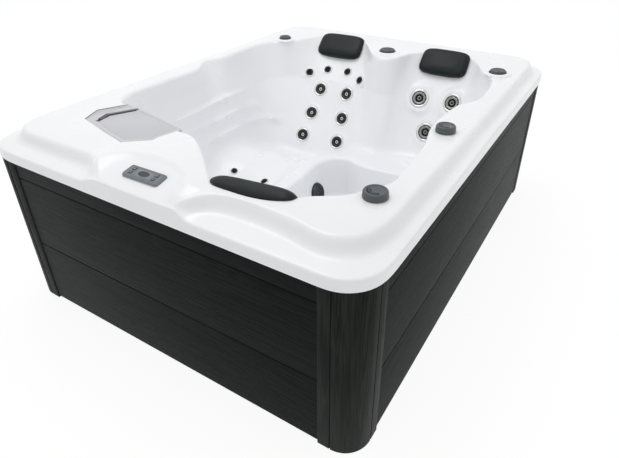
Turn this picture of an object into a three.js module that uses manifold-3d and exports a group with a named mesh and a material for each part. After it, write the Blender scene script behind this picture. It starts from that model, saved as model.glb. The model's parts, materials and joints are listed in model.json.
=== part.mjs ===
// Acrylic hot tub: a moulded shell with a lounger, two seats and a footwell, hung on a timber
// frame inside a cabinet of composite boards, with its jets, valves, filter and pillows.
// Millimetres, +Z up. X runs along the side with the control panel, Y along the long side,
// and the origin is on the floor under the middle. The front is the panel's side, at -Y.

import * as THREE from 'three';
import { mergeVertices } from 'three/addons/utils/BufferGeometryUtils.js';
import Module from 'manifold-3d';

const wasm = await Module();
wasm.setup();

// Driving dimensions of the whole tub
const TUB_WIDTH = 1625;
const TUB_LENGTH = 2100;
const DECK_HEIGHT = 757;
const LIP_DEPTH = 93;
const CORNER_RADIUS = 128;

// Clearances and overruns that the pieces share
const SEAT_GAP = 0.3;
const RUNNING_GAP = 0.4;
const CUT_OVERRUN = 3;
const WELD_DISTANCE = 0.0005;

// Shell wall, lip and rim
const SHELL_WALL = 8;
const LIP_FACE_HEIGHT = 38;
const LIP_DRAFT = 3;
const LIP_EDGE_RADIUS = 9;
const SHELF_RISE = 9;
const COVE_RUN = 24;
const COVE_RADIUS = 26;
const RIM_EDGE_RADIUS = 12;
const DECK_EDGE_RADIUS = 20;
const CONSOLE_FACE_DROP = 4;
const CONSOLE_BLEND = 34;

// Heights inside the pit, as shares of the deck's height
const FLOOR_SHARE = 0.1057;
const FOOT_REST_SHARE = 0.2008;
const CREST_SHARE = 0.3791;
const ARM_HUMP_SHARE = 0.4042;
const WALL_BREAK_SHARE = 0.7398;
const FOOTWELL_DRAFT = 42;
const CONSOLE_DROP = 26;

// Fillets of the pit's section, from the wall down to the floor
const WALL_BREAK_RADIUS = 90;
const SEAT_BACK_RADIUS = 75;
const PAN_FRONT_RADIUS = 32;
const CREST_RADIUS = 20;
const FLOOR_RADIUS = 34;
const FILLET_SHARE_OF_WALL = 0.48;

// Cabinet: boards between corner posts, behind the shell's lip
const LIP_OVERHANG = 14;
const POST_RADIUS = 95;
const POST_WALL = 18;
const POST_STRIP = 46;
const POST_TOP_GAP = 2;
const GROOVE_WIDTH = 4;
const GROOVE_DEPTH = 3;
const BOARD_THICKNESS = 16;
const BOARD_BOTTOM = 9;
const BOARD_LOWER_JOINT_SHARE = 0.3818;
const BOARD_UPPER_JOINT_SHARE = 0.7794;
const BOARD_INSIDE_LIP = 22;
const BOARD_CHAMFER = 3;

// Frame and base tray
const FRAME_DEPTH = 38;
const RAIL_HEIGHT = 60;
const STUD_WIDTH = 58;
const TRAY_HEIGHT = 30;
const PLINTH_SHARE = 0.8;
const STUD_SPREAD_SHARE = 0.36;

// Jets
const JET_FACE_RADIUS = { neck: 26, row: 40, main: 50, calf: 21 };
const JET_FACE_HEIGHT = 7;
const JET_EDGE_HEIGHT = 3;
const JET_WELL_HEIGHT = 3;
const JET_STEM_LENGTH = 34;
const JET_BODY_WALL = 6;
const JET_BODY_LENGTH = 52;
const JET_STEM_SHARE = 0.46;
const JET_RING_SHARE = 0.84;
const JET_NOZZLE_SHARE = 0.56;

// Jets of the two back rests: share of the half width, share of the deck's height
const BACK_JETS = [
  { name: 'jet_neck_outer_left', size: 'neck', shares: [-0.522, 0.773] },
  { name: 'jet_neck_inner_left', size: 'neck', shares: [-0.398, 0.799] },
  { name: 'jet_neck_inner_right', size: 'neck', shares: [-0.241, 0.806] },
  { name: 'jet_neck_outer_right', size: 'neck', shares: [-0.116, 0.771] },
  { name: 'jet_upper_right', size: 'row', shares: [-0.192, 0.674] },
  { name: 'jet_middle_right', size: 'row', shares: [-0.175, 0.515] },
  { name: 'jet_lower_right', size: 'row', shares: [-0.162, 0.363] },
  { name: 'jet_lower_left', size: 'row', shares: [-0.433, 0.363] },
  { name: 'jet_middle_left', size: 'row', shares: [-0.416, 0.515] },
  { name: 'jet_upper_left', size: 'row', shares: [-0.402, 0.674] },
  { name: 'jet_seat_low', size: 'main', shares: [0.423, 0.526] },
  { name: 'jet_seat_left', size: 'main', shares: [0.328, 0.731] },
  { name: 'jet_seat_right', size: 'main', shares: [0.551, 0.74] },
];
const RAY_START_SHARE = 0.3;
const NECK_JET_COUNT = 4;
const SEAT_JET_COUNT = 3;

// Jets in the lounger's leg rest: shares of the half width and of the half length
const CALF_JETS = [
  { name: 'jet_calf_left', size: 'calf', shares: [-0.548, -0.078] },
  { name: 'jet_calf_right', size: 'calf', shares: [-0.306, -0.078] },
];

// Suction cover, on the footwell's wall
const SUCTION_PLACE_SHARES = [-0.047, 0.078];
const SUCTION_HEIGHT_SHARE = 0.1955;
const SUCTION_RADIUS = 55;
const SUCTION_RISE = 34;
const SUCTION_EDGE = 5;
const SUCTION_STEM_RADIUS = 25;
const SUCTION_DOME_SHARES = [[0.93, 0.45], [0.74, 0.8], [0.42, 0.96]];

// Diverter knobs and their valves
const KNOBS = [
  { name: 'diverter_knob_side', radius: 37.5, height: 25, shares: [0.831, -0.16] },
  { name: 'diverter_knob_front', radius: 39.5, height: 23, shares: [0.817, -0.687] },
];
const KNOB_SHOULDER_SHARES = [[0.98, 0.72], [0.87, 1], [0.66, 1]];
const KNOB_DISH = 3;
const KNOB_STEM_RADIUS = 16;
const KNOB_STEM_LENGTH = 40;
const DIVERTER_WALL = 16;
const DIVERTER_LENGTH = 100;

// Air caps and their valves
const CAPS = [
  { name: 'left', radius: 33.5, shares: [-0.729, 0.601] },
  { name: 'middle', radius: 42.5, shares: [0.048, 0.658] },
  { name: 'right', radius: 40, shares: [0.802, 0.593] },
];
const CAP_HEIGHT = 9;
const CAP_SHOULDER_SHARES = [[1, 0.5], [0.9, 1], [0.7, 1]];
const CAP_DISH = 2;
const CAP_STEM_RADIUS = 12;
const CAP_STEM_LENGTH = 30;
const VALVE_WALL = 5;
const VALVE_FLANGE = 9;
const VALVE_FLANGE_HEIGHT = 6;
const VALVE_LENGTH = 52;

// Control panel on the console
const PANEL_PLACE_SHARES = [-0.0231, -0.921];
const PANEL_WIDTH = 156;
const PANEL_LENGTH = 56;
const PANEL_RISE = 7;
const PANEL_EDGE_SLOPE = 5;
const PANEL_BODY_WIDTH = 132;
const PANEL_BODY_LENGTH = 40;
const PANEL_BODY_DEPTH = 40;
const SCREEN_WIDTH = 66;
const SCREEN_LENGTH = 34;
const SCREEN_THICKNESS = 3;
const BUTTON_WIDTH = 15;
const BUTTON_LENGTH = 13;
const BUTTON_HEIGHT = 7;
const BUTTON_PROUD = 1.6;
const BUTTON_TRAVEL = 1;
const BUTTON_OUT = 50;
const BUTTON_UP = 9;

// Filter housing in the deck's corner. Its outlines are shares of its width, along the pit's
// edge, and of its depth, away from the pit.
const FILTER_PLACE_SHARES = [-0.3846, -0.5952];
const FILTER_YAW_DEGREES = -12;
const FILTER_WIDTH = 421;
const FILTER_DEPTH = 209;
const FILTER_OUTLINE_SHARES = [
  [-0.494, -0.95], [-0.084, -0.986], [0.223, -1], [0.375, -0.598], [0.359, -0.463],
  [0.363, -0.134], [0.354, 0.012], [-0.354, 0.012], [-0.546, -0.019], [-0.625, -0.574],
];
const LID_OUTLINE_SHARES = [
  [-0.34, -0.83], [-0.084, -0.89], [0.19, -0.9], [0.325, -0.56], [0.315, -0.463],
  [0.32, -0.134], [0.31, -0.03], [-0.325, -0.03], [-0.395, -0.55],
];
const SLOT_OUTLINE_SHARES = [
  [-0.345, -0.84], [-0.4, -0.55], [-0.333, -0.06], [-0.36, -0.06], [-0.44, -0.55], [-0.385, -0.86],
];
const FLANGE_THICKNESS = 13;
const FLANGE_DROP = 2;
const LID_THICKNESS = 6;
const CHAMBER_WIDTH = 236;
const CHAMBER_DEPTH = 166;
const CHAMBER_WALL = 4;
const CHAMBER_SILL_DROP = 117;
const CHAMBER_NOSE = 3;
const CANISTER_RADIUS = 78;
const CANISTER_SETBACK = 84;
const CANISTER_BOTTOM_DROP = 317;
const CARTRIDGE_RADIUS = 66;
const CARTRIDGE_LENGTH = 236;
const CARTRIDGE_CAP_HEIGHT = 14;
const CARTRIDGE_WAIST = 5;
const CARTRIDGE_SPIGOT_RADIUS = 22;
const CARTRIDGE_GRIP_RADIUS = 20;
const CARTRIDGE_GRIP_HEIGHT = 16;

// Head pillows: places on the end walls, as shares of the half width and height, and width, length
// and thickness as shares of the half width. Their backs follow the wall, so each is shaped with a
// skirt that the wall then cuts off.
const PILLOWS = [
  { name: 'pillow_lounger', end: 1, shares: [-0.361, 0.943], sizeShares: [0.3446, 0.1846, 0.0542] },
  { name: 'pillow_corner', end: 1, shares: [0.416, 0.942], sizeShares: [0.3249, 0.1822, 0.0542] },
  { name: 'pillow_front', end: -1, shares: [0.411, 0.932], sizeShares: [0.384, 0.1502, 0.0812] },
];
const PILLOW_SQUARENESS = 3.4;
const PILLOW_GAP = 0.5;
const PILLOW_SKIRT = 36;
const PILLOW_FOOTPRINT_SHARE = 0.8;
const PILLOW_ROW_SHARES = [
  [0.96, 0], [1, 0.3], [0.975, 0.62], [0.86, 0.86], [0.55, 0.98],
];

// Pipes and hoses: their turns as shares of the half width, half length and deck height
const HOSE_RADIUS = 11;
const PIPE_RADIUS = 21;
const BEHIND_COLUMN_SHARES = [[0.062, 0.66, 0.44]];
const CALF_HOSE_SHARES = [[-0.433, 0.5, 0.13], [-0.433, 0.08, 0.13]];
const PRESSURE_RUN_SHARES = [
  [0.277, -0.78, 0.4], [0.535, -0.78, 0.4], [0.849, -0.687, 0.4], [0.849, -0.16, 0.4],
  [0.849, 0.571, 0.4], [0.738, 0.752, 0.4], [0.5, 0.752, 0.5],
];
const SUCTION_RUN_SHARES = [[0.12, -0.78], [-0.197, -0.571], [-0.197, 0.095]];
const SUCTION_RUN_HEIGHT_SHARE = 0.1083;
const DRAIN_RUN_SHARES = [[-0.16, 0.22, 0.16], [-0.16, 0.925, 0.16]];
const DRAIN_CAP_RADIUS = 30;
const DRAIN_CAP_HEIGHT = 12;
const DRAIN_STEM_RADIUS = 18;
const DRAIN_STEM_LENGTH = 26;
const DRAIN_BODY_WALL = 5;
const DRAIN_BODY_LENGTH = 60;

// Pump and control pack, on the base tray
const PUMP_WET_END_RADIUS = 84;
const PUMP_WET_END_LENGTH = 70;
const PUMP_MOTOR_RADIUS = 70;
const PUMP_MOTOR_LENGTH = 210;
const PUMP_PORT_RADIUS = 27;
const PUMP_PORT_LENGTH = 16;
const PUMP_FOOT_WIDTH = 120;
const PUMP_FOOT_LENGTH = 180;
const PUMP_FOOT_THICKNESS = 12;
const PUMP_PLACE_SHARES = [0.277, -0.78];
const PACK_WIDTH = 300;
const PACK_DEPTH = 110;
const PACK_HEIGHT = 190;
const PACK_PLACE_SHARES = [-0.31, -0.84];
const HEATER_RADIUS = 30;
const HEATER_LENGTH = 360;

const HALF_WIDTH = TUB_WIDTH / 2;
const HALF_LENGTH = TUB_LENGTH / 2;
const FLOOR_HEIGHT = FLOOR_SHARE * DECK_HEIGHT;
const FOOT_REST_HEIGHT = FOOT_REST_SHARE * DECK_HEIGHT;
const CREST_HEIGHT = CREST_SHARE * DECK_HEIGHT;
const ARM_HUMP_HEIGHT = ARM_HUMP_SHARE * DECK_HEIGHT;
const WALL_BREAK_HEIGHT = WALL_BREAK_SHARE * DECK_HEIGHT;
const CONSOLE_HEIGHT = DECK_HEIGHT - CONSOLE_DROP;
const LIP_BOTTOM_HEIGHT = DECK_HEIGHT - LIP_DEPTH;
const BOARD_LOWER_JOINT = BOARD_LOWER_JOINT_SHARE * DECK_HEIGHT;
const BOARD_UPPER_JOINT = BOARD_UPPER_JOINT_SHARE * DECK_HEIGHT;
const SUCTION_HEIGHT = SUCTION_HEIGHT_SHARE * DECK_HEIGHT;
const SUCTION_RUN_HEIGHT = SUCTION_RUN_HEIGHT_SHARE * DECK_HEIGHT;
const CHAMBER_SILL_HEIGHT = DECK_HEIGHT - CHAMBER_SILL_DROP;
const CANISTER_BOTTOM_HEIGHT = DECK_HEIGHT - CANISTER_BOTTOM_DROP;
const LIP_TOP_HEIGHT = LIP_BOTTOM_HEIGHT + LIP_FACE_HEIGHT;
const CLADDING = new THREE.Vector2(HALF_WIDTH - LIP_OVERHANG, HALF_LENGTH - LIP_OVERHANG);
const FRAME_OUTER = CLADDING.clone().subScalar(POST_WALL + SEAT_GAP);

// Fineness of the meshes
const STATIONS = 74;
const RING_SPAN_STEPS = 8;
const STATION_TABLE_STEPS = 720;
const EVEN_ANGLE_SHARE = 0.42;
const LIP_CORNER_STEPS = 12;
const POST_ARC_STEPS = 8;
const SMALL_SIDES = 12;
const WIDE_SIDES = 16;
const PIPE_SIDES = 6;
const SOCKET_SIDES = 8;
const PILLOW_SIDES = 20;
const FOOTPRINT_STEPS = 24;
const FOOTPRINT_RING_SHARES = [0.25, 0.45, 0.6, 0.75, 0.88, 0.96, 1.02];
const RAIL_LOOKS = 24;
const LOOK_SHARE = 0.16;
const LOOK_FROM_SHARE = 1.2;

// The shell's rings. A row is a share of the half width, a share of the half length, and, where
// the ring isn't level, how far it has gone from its low height to its high one.
const FOOTWELL_CENTRE_SHARES = [0.246, 0];
const RIM_SHARES = [
  [-0.332, -0.921, 1], [-0.27, -0.938, 0.95], [-0.228, -0.964, 0.6], [-0.203, -0.985, 0.1],
  [-0.12, -0.988, 0], [0.12, -0.988, 0], [0.203, -0.985, 0.1], [0.234, -0.962, 0.6],
  [0.271, -0.925, 0.95], [0.332, -0.899, 1], [0.45, -0.888, 1], [0.62, -0.894, 1],
  [0.745, -0.912, 1], [0.801, -0.911, 1], [0.842, -0.896, 1], [0.889, -0.87, 1],
  [0.911, -0.827, 1], [0.926, -0.768, 1], [0.928, -0.6, 1], [0.928, 0, 1], [0.928, 0.7, 1],
  [0.927, 0.81, 1], [0.912, 0.875, 1], [0.868, 0.914, 1], [0.79, 0.931, 1], [0.6, 0.933, 1],
  [0, 0.934, 1], [-0.62, 0.933, 1], [-0.79, 0.93, 1], [-0.865, 0.913, 1], [-0.905, 0.875, 1],
  [-0.913, 0.81, 1], [-0.914, 0.6, 1], [-0.914, 0, 1], [-0.914, -0.74, 1],
  [-0.908, -0.83, 1], [-0.886, -0.88, 1], [-0.84, -0.912, 1], [-0.76, -0.921, 1],
  [-0.55, -0.921, 1],
];
const EDGE_SHARES = [
  [-0.193, -0.634], [-0.139, -0.633], [-0.059, -0.664], [0.025, -0.715], [0.114, -0.772],
  [0.197, -0.83], [0.252, -0.86], [0.345, -0.869], [0.433, -0.867], [0.511, -0.85],
  [0.56, -0.821], [0.597, -0.779], [0.64, -0.754], [0.688, -0.73], [0.738, -0.693],
  [0.788, -0.633], [0.821, -0.571], [0.817, -0.499], [0.805, -0.357], [0.795, -0.278],
  [0.753, -0.143], [0.746, -0.057], [0.75, 0.018], [0.764, 0.119], [0.8, 0.166],
  [0.83, 0.216], [0.831, 0.314], [0.822, 0.412], [0.794, 0.519], [0.687, 0.632],
  [0.642, 0.705], [0.578, 0.762], [0.431, 0.776], [0.283, 0.762], [0.203, 0.71],
  [0.172, 0.636], [0.149, 0.58], [0.105, 0.55], [0.055, 0.55], [-0.03, 0.601],
  [-0.121, 0.694], [-0.185, 0.762], [-0.345, 0.786], [-0.505, 0.771], [-0.591, 0.724],
  [-0.625, 0.648], [-0.689, 0.576], [-0.788, 0.519], [-0.822, 0.419], [-0.827, 0.286],
  [-0.818, 0.143], [-0.849, 0.1], [-0.854, 0.033], [-0.78, -0.057], [-0.783, -0.19],
  [-0.785, -0.297], [-0.788, -0.457], [-0.738, -0.538], [-0.662, -0.555], [-0.564, -0.569],
  [-0.369, -0.598],
];
const WALL_SHARES = [
  [-0.193, -0.617], [-0.139, -0.612], [-0.049, -0.64], [0.043, -0.688], [0.135, -0.738],
  [0.222, -0.762], [0.345, -0.77], [0.455, -0.762], [0.554, -0.738], [0.628, -0.71],
  [0.695, -0.671], [0.751, -0.614], [0.785, -0.552], [0.788, -0.476], [0.778, -0.352],
  [0.766, -0.267], [0.729, -0.143], [0.722, -0.048], [0.726, 0.019], [0.741, 0.114],
  [0.773, 0.181], [0.794, 0.286], [0.788, 0.4], [0.753, 0.505], [0.665, 0.586],
  [0.554, 0.608], [0.406, 0.614], [0.271, 0.605], [0.191, 0.576], [0.148, 0.541],
  [0.105, 0.527], [0.055, 0.529], [-0.012, 0.557], [-0.074, 0.592], [-0.172, 0.6],
  [-0.32, 0.602], [-0.48, 0.595], [-0.591, 0.571], [-0.683, 0.514], [-0.745, 0.429],
  [-0.769, 0.286], [-0.766, 0.095], [-0.757, -0.095], [-0.758, -0.286], [-0.757, -0.429],
  [-0.714, -0.514], [-0.615, -0.548], [-0.431, -0.576],
];
const FOOT_SHARES = [
  [-0.554, -0.476, 0], [-0.369, -0.519, 0], [-0.197, -0.548, 0.02], [-0.086, -0.557, 0.2],
  [0.025, -0.586, 0.6], [0.123, -0.614, 0.78], [0.222, -0.63, 0.78], [0.345, -0.636, 0.78],
  [0.468, -0.629, 0.78], [0.566, -0.605, 0.78], [0.652, -0.552, 0.78], [0.708, -0.476, 0.78],
  [0.726, -0.362, 0.78], [0.72, -0.257, 0.78], [0.695, -0.133, 0.78], [0.689, 0, 0.78],
  [0.704, 0.124, 0.78], [0.732, 0.238, 0.78], [0.738, 0.352, 0.78], [0.702, 0.433, 0.78],
  [0.615, 0.481, 0.78], [0.492, 0.495, 0.78], [0.369, 0.493, 0.78], [0.258, 0.476, 0.78],
  [0.185, 0.448, 0.79], [0.123, 0.424, 0.81], [0.062, 0.419, 0.83], [0, 0.419, 0.77],
  [-0.074, 0.41, 0.54], [-0.148, 0.386, 0.31], [-0.271, 0.376, 0.23], [-0.418, 0.371, 0.23],
  [-0.542, 0.352, 0.25], [-0.628, 0.3, 0.31], [-0.677, 0.21, 0.54], [-0.689, 0.114, 0.9],
  [-0.692, 0.019, 1], [-0.689, -0.076, 0.9], [-0.683, -0.171, 0.47], [-0.677, -0.267, 0.08],
  [-0.665, -0.362, 0], [-0.628, -0.438, 0],
];
const PAN_SHARES = [
  [-0.222, -0.433, 0.03], [-0.123, -0.438, 0.18], [-0.025, -0.457, 0.44], [0.074, -0.486, 0.63],
  [0.185, -0.51, 0.67], [0.308, -0.524, 0.67], [0.431, -0.524, 0.67], [0.554, -0.505, 0.68],
  [0.64, -0.438, 0.71], [0.677, -0.343, 0.73], [0.674, -0.238, 0.75], [0.658, -0.114, 0.75],
  [0.655, 0, 0.75], [0.665, 0.114, 0.75], [0.671, 0.229, 0.75], [0.64, 0.314, 0.72],
  [0.566, 0.362, 0.69], [0.468, 0.376, 0.68], [0.345, 0.376, 0.68], [0.209, 0.362, 0.71],
  [0.123, 0.343, 0.78], [0.049, 0.338, 0.82], [-0.025, 0.329, 0.71], [-0.086, 0.31, 0.44],
  [-0.16, 0.295, 0.25], [-0.271, 0.29, 0.2], [-0.382, 0.276, 0.25], [-0.468, 0.229, 0.47],
  [-0.505, 0.162, 0.73], [-0.517, 0.086, 0.8], [-0.517, 0, 0.72], [-0.517, -0.086, 0.5],
  [-0.517, -0.171, 0.22], [-0.517, -0.267, 0.03], [-0.468, -0.362, 0], [-0.332, -0.429, 0],
];
const PAN_FRONT_SHARES = [
  [-0.234, -0.095, 0.52], [-0.234, -0.19, 0.2], [-0.234, -0.286, 0.02], [-0.185, -0.352, 0.02],
  [-0.098, -0.39, 0.13], [0, -0.41, 0.4], [0.098, -0.419, 0.66], [0.246, -0.424, 0.74],
  [0.406, -0.424, 0.74], [0.529, -0.41, 0.75], [0.615, -0.362, 0.77], [0.646, -0.267, 0.78],
  [0.634, -0.124, 0.78], [0.63, 0, 0.78], [0.63, 0.114, 0.78], [0.622, 0.21, 0.79],
  [0.554, 0.286, 0.78], [0.443, 0.295, 0.77], [0.32, 0.29, 0.77], [0.209, 0.286, 0.79],
  [0.123, 0.29, 0.84], [0.049, 0.305, 0.87], [-0.037, 0.295, 0.84], [-0.111, 0.262, 0.65],
  [-0.185, 0.233, 0.46], [-0.246, 0.19, 0.54], [-0.252, 0.114, 0.79], [-0.246, 0.029, 0.74],
];
const CREST_BACK_SHARES = [
  [-0.172, 0.095], [-0.16, 0], [-0.16, -0.095], [-0.16, -0.19], [-0.148, -0.276],
  [-0.098, -0.333], [-0.012, -0.367], [0.098, -0.381], [0.246, -0.386], [0.406, -0.386],
  [0.529, -0.371], [0.609, -0.324], [0.634, -0.238], [0.622, -0.124], [0.618, 0],
  [0.615, 0.114], [0.601, 0.2], [0.542, 0.255], [0.431, 0.264], [0.308, 0.255],
  [0.197, 0.252], [0.111, 0.262], [0.037, 0.281], [-0.037, 0.27], [-0.098, 0.238],
  [-0.148, 0.195], [-0.172, 0.148],
];
const CREST_FRONT_SHARES = [
  [-0.092, 0.095], [-0.08, 0], [-0.08, -0.095], [-0.08, -0.19], [-0.068, -0.262],
  [-0.025, -0.305], [0.049, -0.329], [0.148, -0.343], [0.246, -0.348], [0.406, -0.348],
  [0.505, -0.333], [0.566, -0.286], [0.585, -0.21], [0.585, -0.124], [0.585, 0],
  [0.582, 0.114], [0.566, 0.181], [0.517, 0.233], [0.418, 0.243], [0.308, 0.233],
  [0.209, 0.23], [0.123, 0.238], [0.043, 0.257], [-0.025, 0.243], [-0.068, 0.21],
  [-0.09, 0.167],
];

const FOOTWELL_CENTRE = new THREE.Vector2(
  FOOTWELL_CENTRE_SHARES[0] * HALF_WIDTH,
  FOOTWELL_CENTRE_SHARES[1] * HALF_LENGTH,
);

/** A closed ring that goes once round the footwell's middle, read by its angle from there. */
class Ring {
  constructor(points) {
    this.points = points;
    this.angles = [];
    let turn = 0;
    let last = null;
    for (const point of points) {
      let angle = Math.atan2(point.y - FOOTWELL_CENTRE.y, point.x - FOOTWELL_CENTRE.x) + turn;
      if (last !== null && angle < last - Math.PI) {
        angle += 2 * Math.PI;
        turn += 2 * Math.PI;
      }
      last = last === null ? angle : Math.max(angle, last);
      this.angles.push(last);
    }
  }

  /** A smooth ring through a table of shares; the third share runs from low to high. */
  static through(shares, low, high = low) {
    const places = shares.map(([across, along, rise = 1]) => new THREE.Vector3(
      across * HALF_WIDTH, along * HALF_LENGTH, low + (high - low) * rise,
    ));
    const curve = new THREE.CatmullRomCurve3(places, true, 'centripetal');
    return new Ring(curve.getPoints(places.length * RING_SPAN_STEPS).slice(0, -1));
  }

  /** How far out the ring lies at an angle, and its height there. */
  at(angle) {
    const start = this.angles[0];
    const turned = start + THREE.MathUtils.euclideanModulo(angle - start, 2 * Math.PI);
    let below = 0;
    let above = this.angles.length;
    while (above - below > 1) {
      const middle = (below + above) >> 1;
      if (this.angles[middle] <= turned) below = middle; else above = middle;
    }
    const near = this.points[below];
    const far = this.points[(below + 1) % this.points.length];
    const side = (point) => (point.x - FOOTWELL_CENTRE.x) * Math.sin(angle)
      - (point.y - FOOTWELL_CENTRE.y) * Math.cos(angle);
    const before = side(near);
    const after = side(far);
    const part = before === after ? 0 : THREE.MathUtils.clamp(before / (before - after), 0, 1);
    const x = THREE.MathUtils.lerp(near.x, far.x, part);
    const y = THREE.MathUtils.lerp(near.y, far.y, part);
    return {
      reach: Math.hypot(x - FOOTWELL_CENTRE.x, y - FOOTWELL_CENTRE.y),
      height: THREE.MathUtils.lerp(near.z, far.z, part),
    };
  }
}

/** The outline of a rounded rectangle as points, anticlockwise. */
function roundedRectangle(width, length, radius, cornerSteps) {
  const points = [];
  const across = width / 2 - radius;
  const along = length / 2 - radius;
  [[across, along], [-across, along], [-across, -along], [across, -along]].forEach(([x, y], corner) => {
    for (let step = 0; step <= cornerSteps; step += 1) {
      const angle = (corner + step / cornerSteps) * Math.PI / 2;
      points.push(new THREE.Vector3(x + radius * Math.cos(angle), y + radius * Math.sin(angle), 0));
    }
  });
  return points;
}

const rings = {
  lip: new Ring(roundedRectangle(TUB_WIDTH, TUB_LENGTH, CORNER_RADIUS, LIP_CORNER_STEPS)),
  rim: Ring.through(RIM_SHARES, CONSOLE_HEIGHT, DECK_HEIGHT),
  edge: Ring.through(EDGE_SHARES, DECK_HEIGHT),
  wall: Ring.through(WALL_SHARES, WALL_BREAK_HEIGHT),
  foot: Ring.through(FOOT_SHARES, FOOT_REST_HEIGHT, ARM_HUMP_HEIGHT),
  pan: Ring.through(PAN_SHARES, FOOT_REST_HEIGHT, ARM_HUMP_HEIGHT),
  panFront: Ring.through(PAN_FRONT_SHARES, FOOT_REST_HEIGHT, ARM_HUMP_HEIGHT),
  crestBack: Ring.through(CREST_BACK_SHARES, CREST_HEIGHT),
  crestFront: Ring.through(CREST_FRONT_SHARES, CREST_HEIGHT),
};

/** Angles of the stations: half even, and half crowded where the deck's edge has its bends. */
function stationAngles(count) {
  const { angles } = rings.edge;
  const table = [0];
  const edgeShare = (turned) => {
    let index = 0;
    while (index < angles.length && angles[index] < turned) index += 1;
    const low = index === 0 ? angles[0] : angles[index - 1];
    const high = index === angles.length ? angles[0] + 2 * Math.PI : angles[index];
    const part = high > low ? (turned - low) / (high - low) : 0;
    return (index - 1 + part) / angles.length;
  };
  for (let step = 1; step <= STATION_TABLE_STEPS; step += 1) {
    const turn = step / STATION_TABLE_STEPS;
    const turned = angles[0] + turn * 2 * Math.PI;
    table.push(EVEN_ANGLE_SHARE * turn + (1 - EVEN_ANGLE_SHARE) * edgeShare(turned));
  }
  const result = [];
  let at = 0;
  for (let station = 0; station < count; station += 1) {
    const wanted = station / count;
    while (table[at + 1] < wanted) at += 1;
    const part = (wanted - table[at]) / (table[at + 1] - table[at]);
    result.push(angles[0] + (at + part) / STATION_TABLE_STEPS * 2 * Math.PI);
  }
  return result;
}

/** The corners of the shell's section at an angle: reach, height, fillet, arc steps, underside. */
function sectionCorners(angle) {
  const lip = rings.lip.at(angle).reach;
  const rim = rings.rim.at(angle);
  const edge = rings.edge.at(angle);
  const wall = rings.wall.at(angle);
  const foot = rings.foot.at(angle);
  const pan = rings.pan.at(angle);
  const panFront = rings.panFront.at(angle);
  const crestBack = rings.crestBack.at(angle).reach;
  const crestFront = rings.crestFront.at(angle).reach;
  const floor = crestFront - FOOTWELL_DRAFT;
  // Where the rim comes out to the lip, the shelf and its cove close up into the lip's face
  const merged = 1 - THREE.MathUtils.smoothstep(lip - rim.reach, CONSOLE_BLEND / 2, CONSOLE_BLEND * 2);
  const mergedTop = rim.height - CONSOLE_FACE_DROP;
  const lipTop = THREE.MathUtils.lerp(LIP_TOP_HEIGHT, mergedTop, merged);
  const shelf = THREE.MathUtils.lerp(LIP_TOP_HEIGHT + SHELF_RISE, (mergedTop + rim.height) / 2, merged);
  const coveFoot = Math.min(rim.reach + COVE_RUN * (1 - merged), (rim.reach + lip) / 2);
  // under says which of a corner's points the underside repeats: where the top bends away from
  // the wall one is enough, and where it bends into the wall all are needed
  return [
    { reach: lip, height: LIP_BOTTOM_HEIGHT, radius: 0, steps: 0, under: [0] },
    { reach: lip - LIP_DRAFT, height: lipTop, radius: LIP_EDGE_RADIUS, steps: 1, under: [0] },
    { reach: coveFoot, height: shelf, radius: COVE_RADIUS, steps: 1, under: [0, 1] },
    { reach: rim.reach, height: rim.height, radius: RIM_EDGE_RADIUS, steps: 1, under: [1] },
    { reach: (rim.reach + edge.reach) / 2, height: DECK_HEIGHT, radius: 0, steps: 0, under: [0] },
    { reach: edge.reach, height: DECK_HEIGHT, radius: DECK_EDGE_RADIUS, steps: 2, under: [1] },
    { reach: wall.reach, height: wall.height, radius: WALL_BREAK_RADIUS, steps: 1, under: [1] },
    { reach: foot.reach, height: foot.height, radius: SEAT_BACK_RADIUS, steps: 2, under: [0, 1, 2] },
    { reach: pan.reach, height: pan.height, radius: 0, steps: 0, under: [0] },
    { reach: panFront.reach, height: panFront.height, radius: PAN_FRONT_RADIUS, steps: 1, under: [0, 1] },
    { reach: crestBack, height: CREST_HEIGHT, radius: 0, steps: 0, under: [0] },
    { reach: crestFront, height: CREST_HEIGHT, radius: CREST_RADIUS, steps: 1, under: [1] },
    { reach: floor, height: FLOOR_HEIGHT, radius: FLOOR_RADIUS, steps: 1, under: [0, 1] },
    { reach: 0, height: FLOOR_HEIGHT, radius: 0, steps: 0, under: [] },
  ];
}

/** Rounds a section's corners. Each corner gives steps + 1 points, so sections match up. */
function roundSection(corners) {
  const points = [];
  corners.forEach((corner, index) => {
    const here = new THREE.Vector2(corner.reach, corner.height);
    if (corner.steps === 0 || index === 0 || index === corners.length - 1) {
      points.push(here);
      return;
    }
    const before = new THREE.Vector2(corners[index - 1].reach, corners[index - 1].height).sub(here);
    const after = new THREE.Vector2(corners[index + 1].reach, corners[index + 1].height).sub(here);
    const room = FILLET_SHARE_OF_WALL * Math.min(before.length(), after.length());
    before.normalize();
    after.normalize();
    const half = Math.acos(THREE.MathUtils.clamp(before.dot(after), -1, 1)) / 2;
    const run = Math.min(corner.radius / Math.max(Math.tan(half), Number.EPSILON), room);
    const start = here.clone().addScaledVector(before, run);
    const end = here.clone().addScaledVector(after, run);
    for (let step = 0; step <= corner.steps; step += 1) {
      const part = step / corner.steps;
      const inner = start.clone().lerp(here, part);
      points.push(inner.lerp(here.clone().lerp(end, part), part));
    }
  });
  return points;
}

/** The rows of the section that the underside repeats. */
function undersideRows(corners) {
  const rows = [];
  let first = 0;
  for (const corner of corners) {
    for (const step of corner.under) rows.push(first + step);
    first += corner.steps + 1;
  }
  return rows;
}

/** The top surface of the shell as a grid of points: stations round, section points inwards. */
function shellGrid(angles) {
  return angles.map((angle) => roundSection(sectionCorners(angle)).map((point) => new THREE.Vector3(
    FOOTWELL_CENTRE.x + point.x * Math.cos(angle),
    FOOTWELL_CENTRE.y + point.x * Math.sin(angle),
    point.y,
  )));
}

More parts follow.
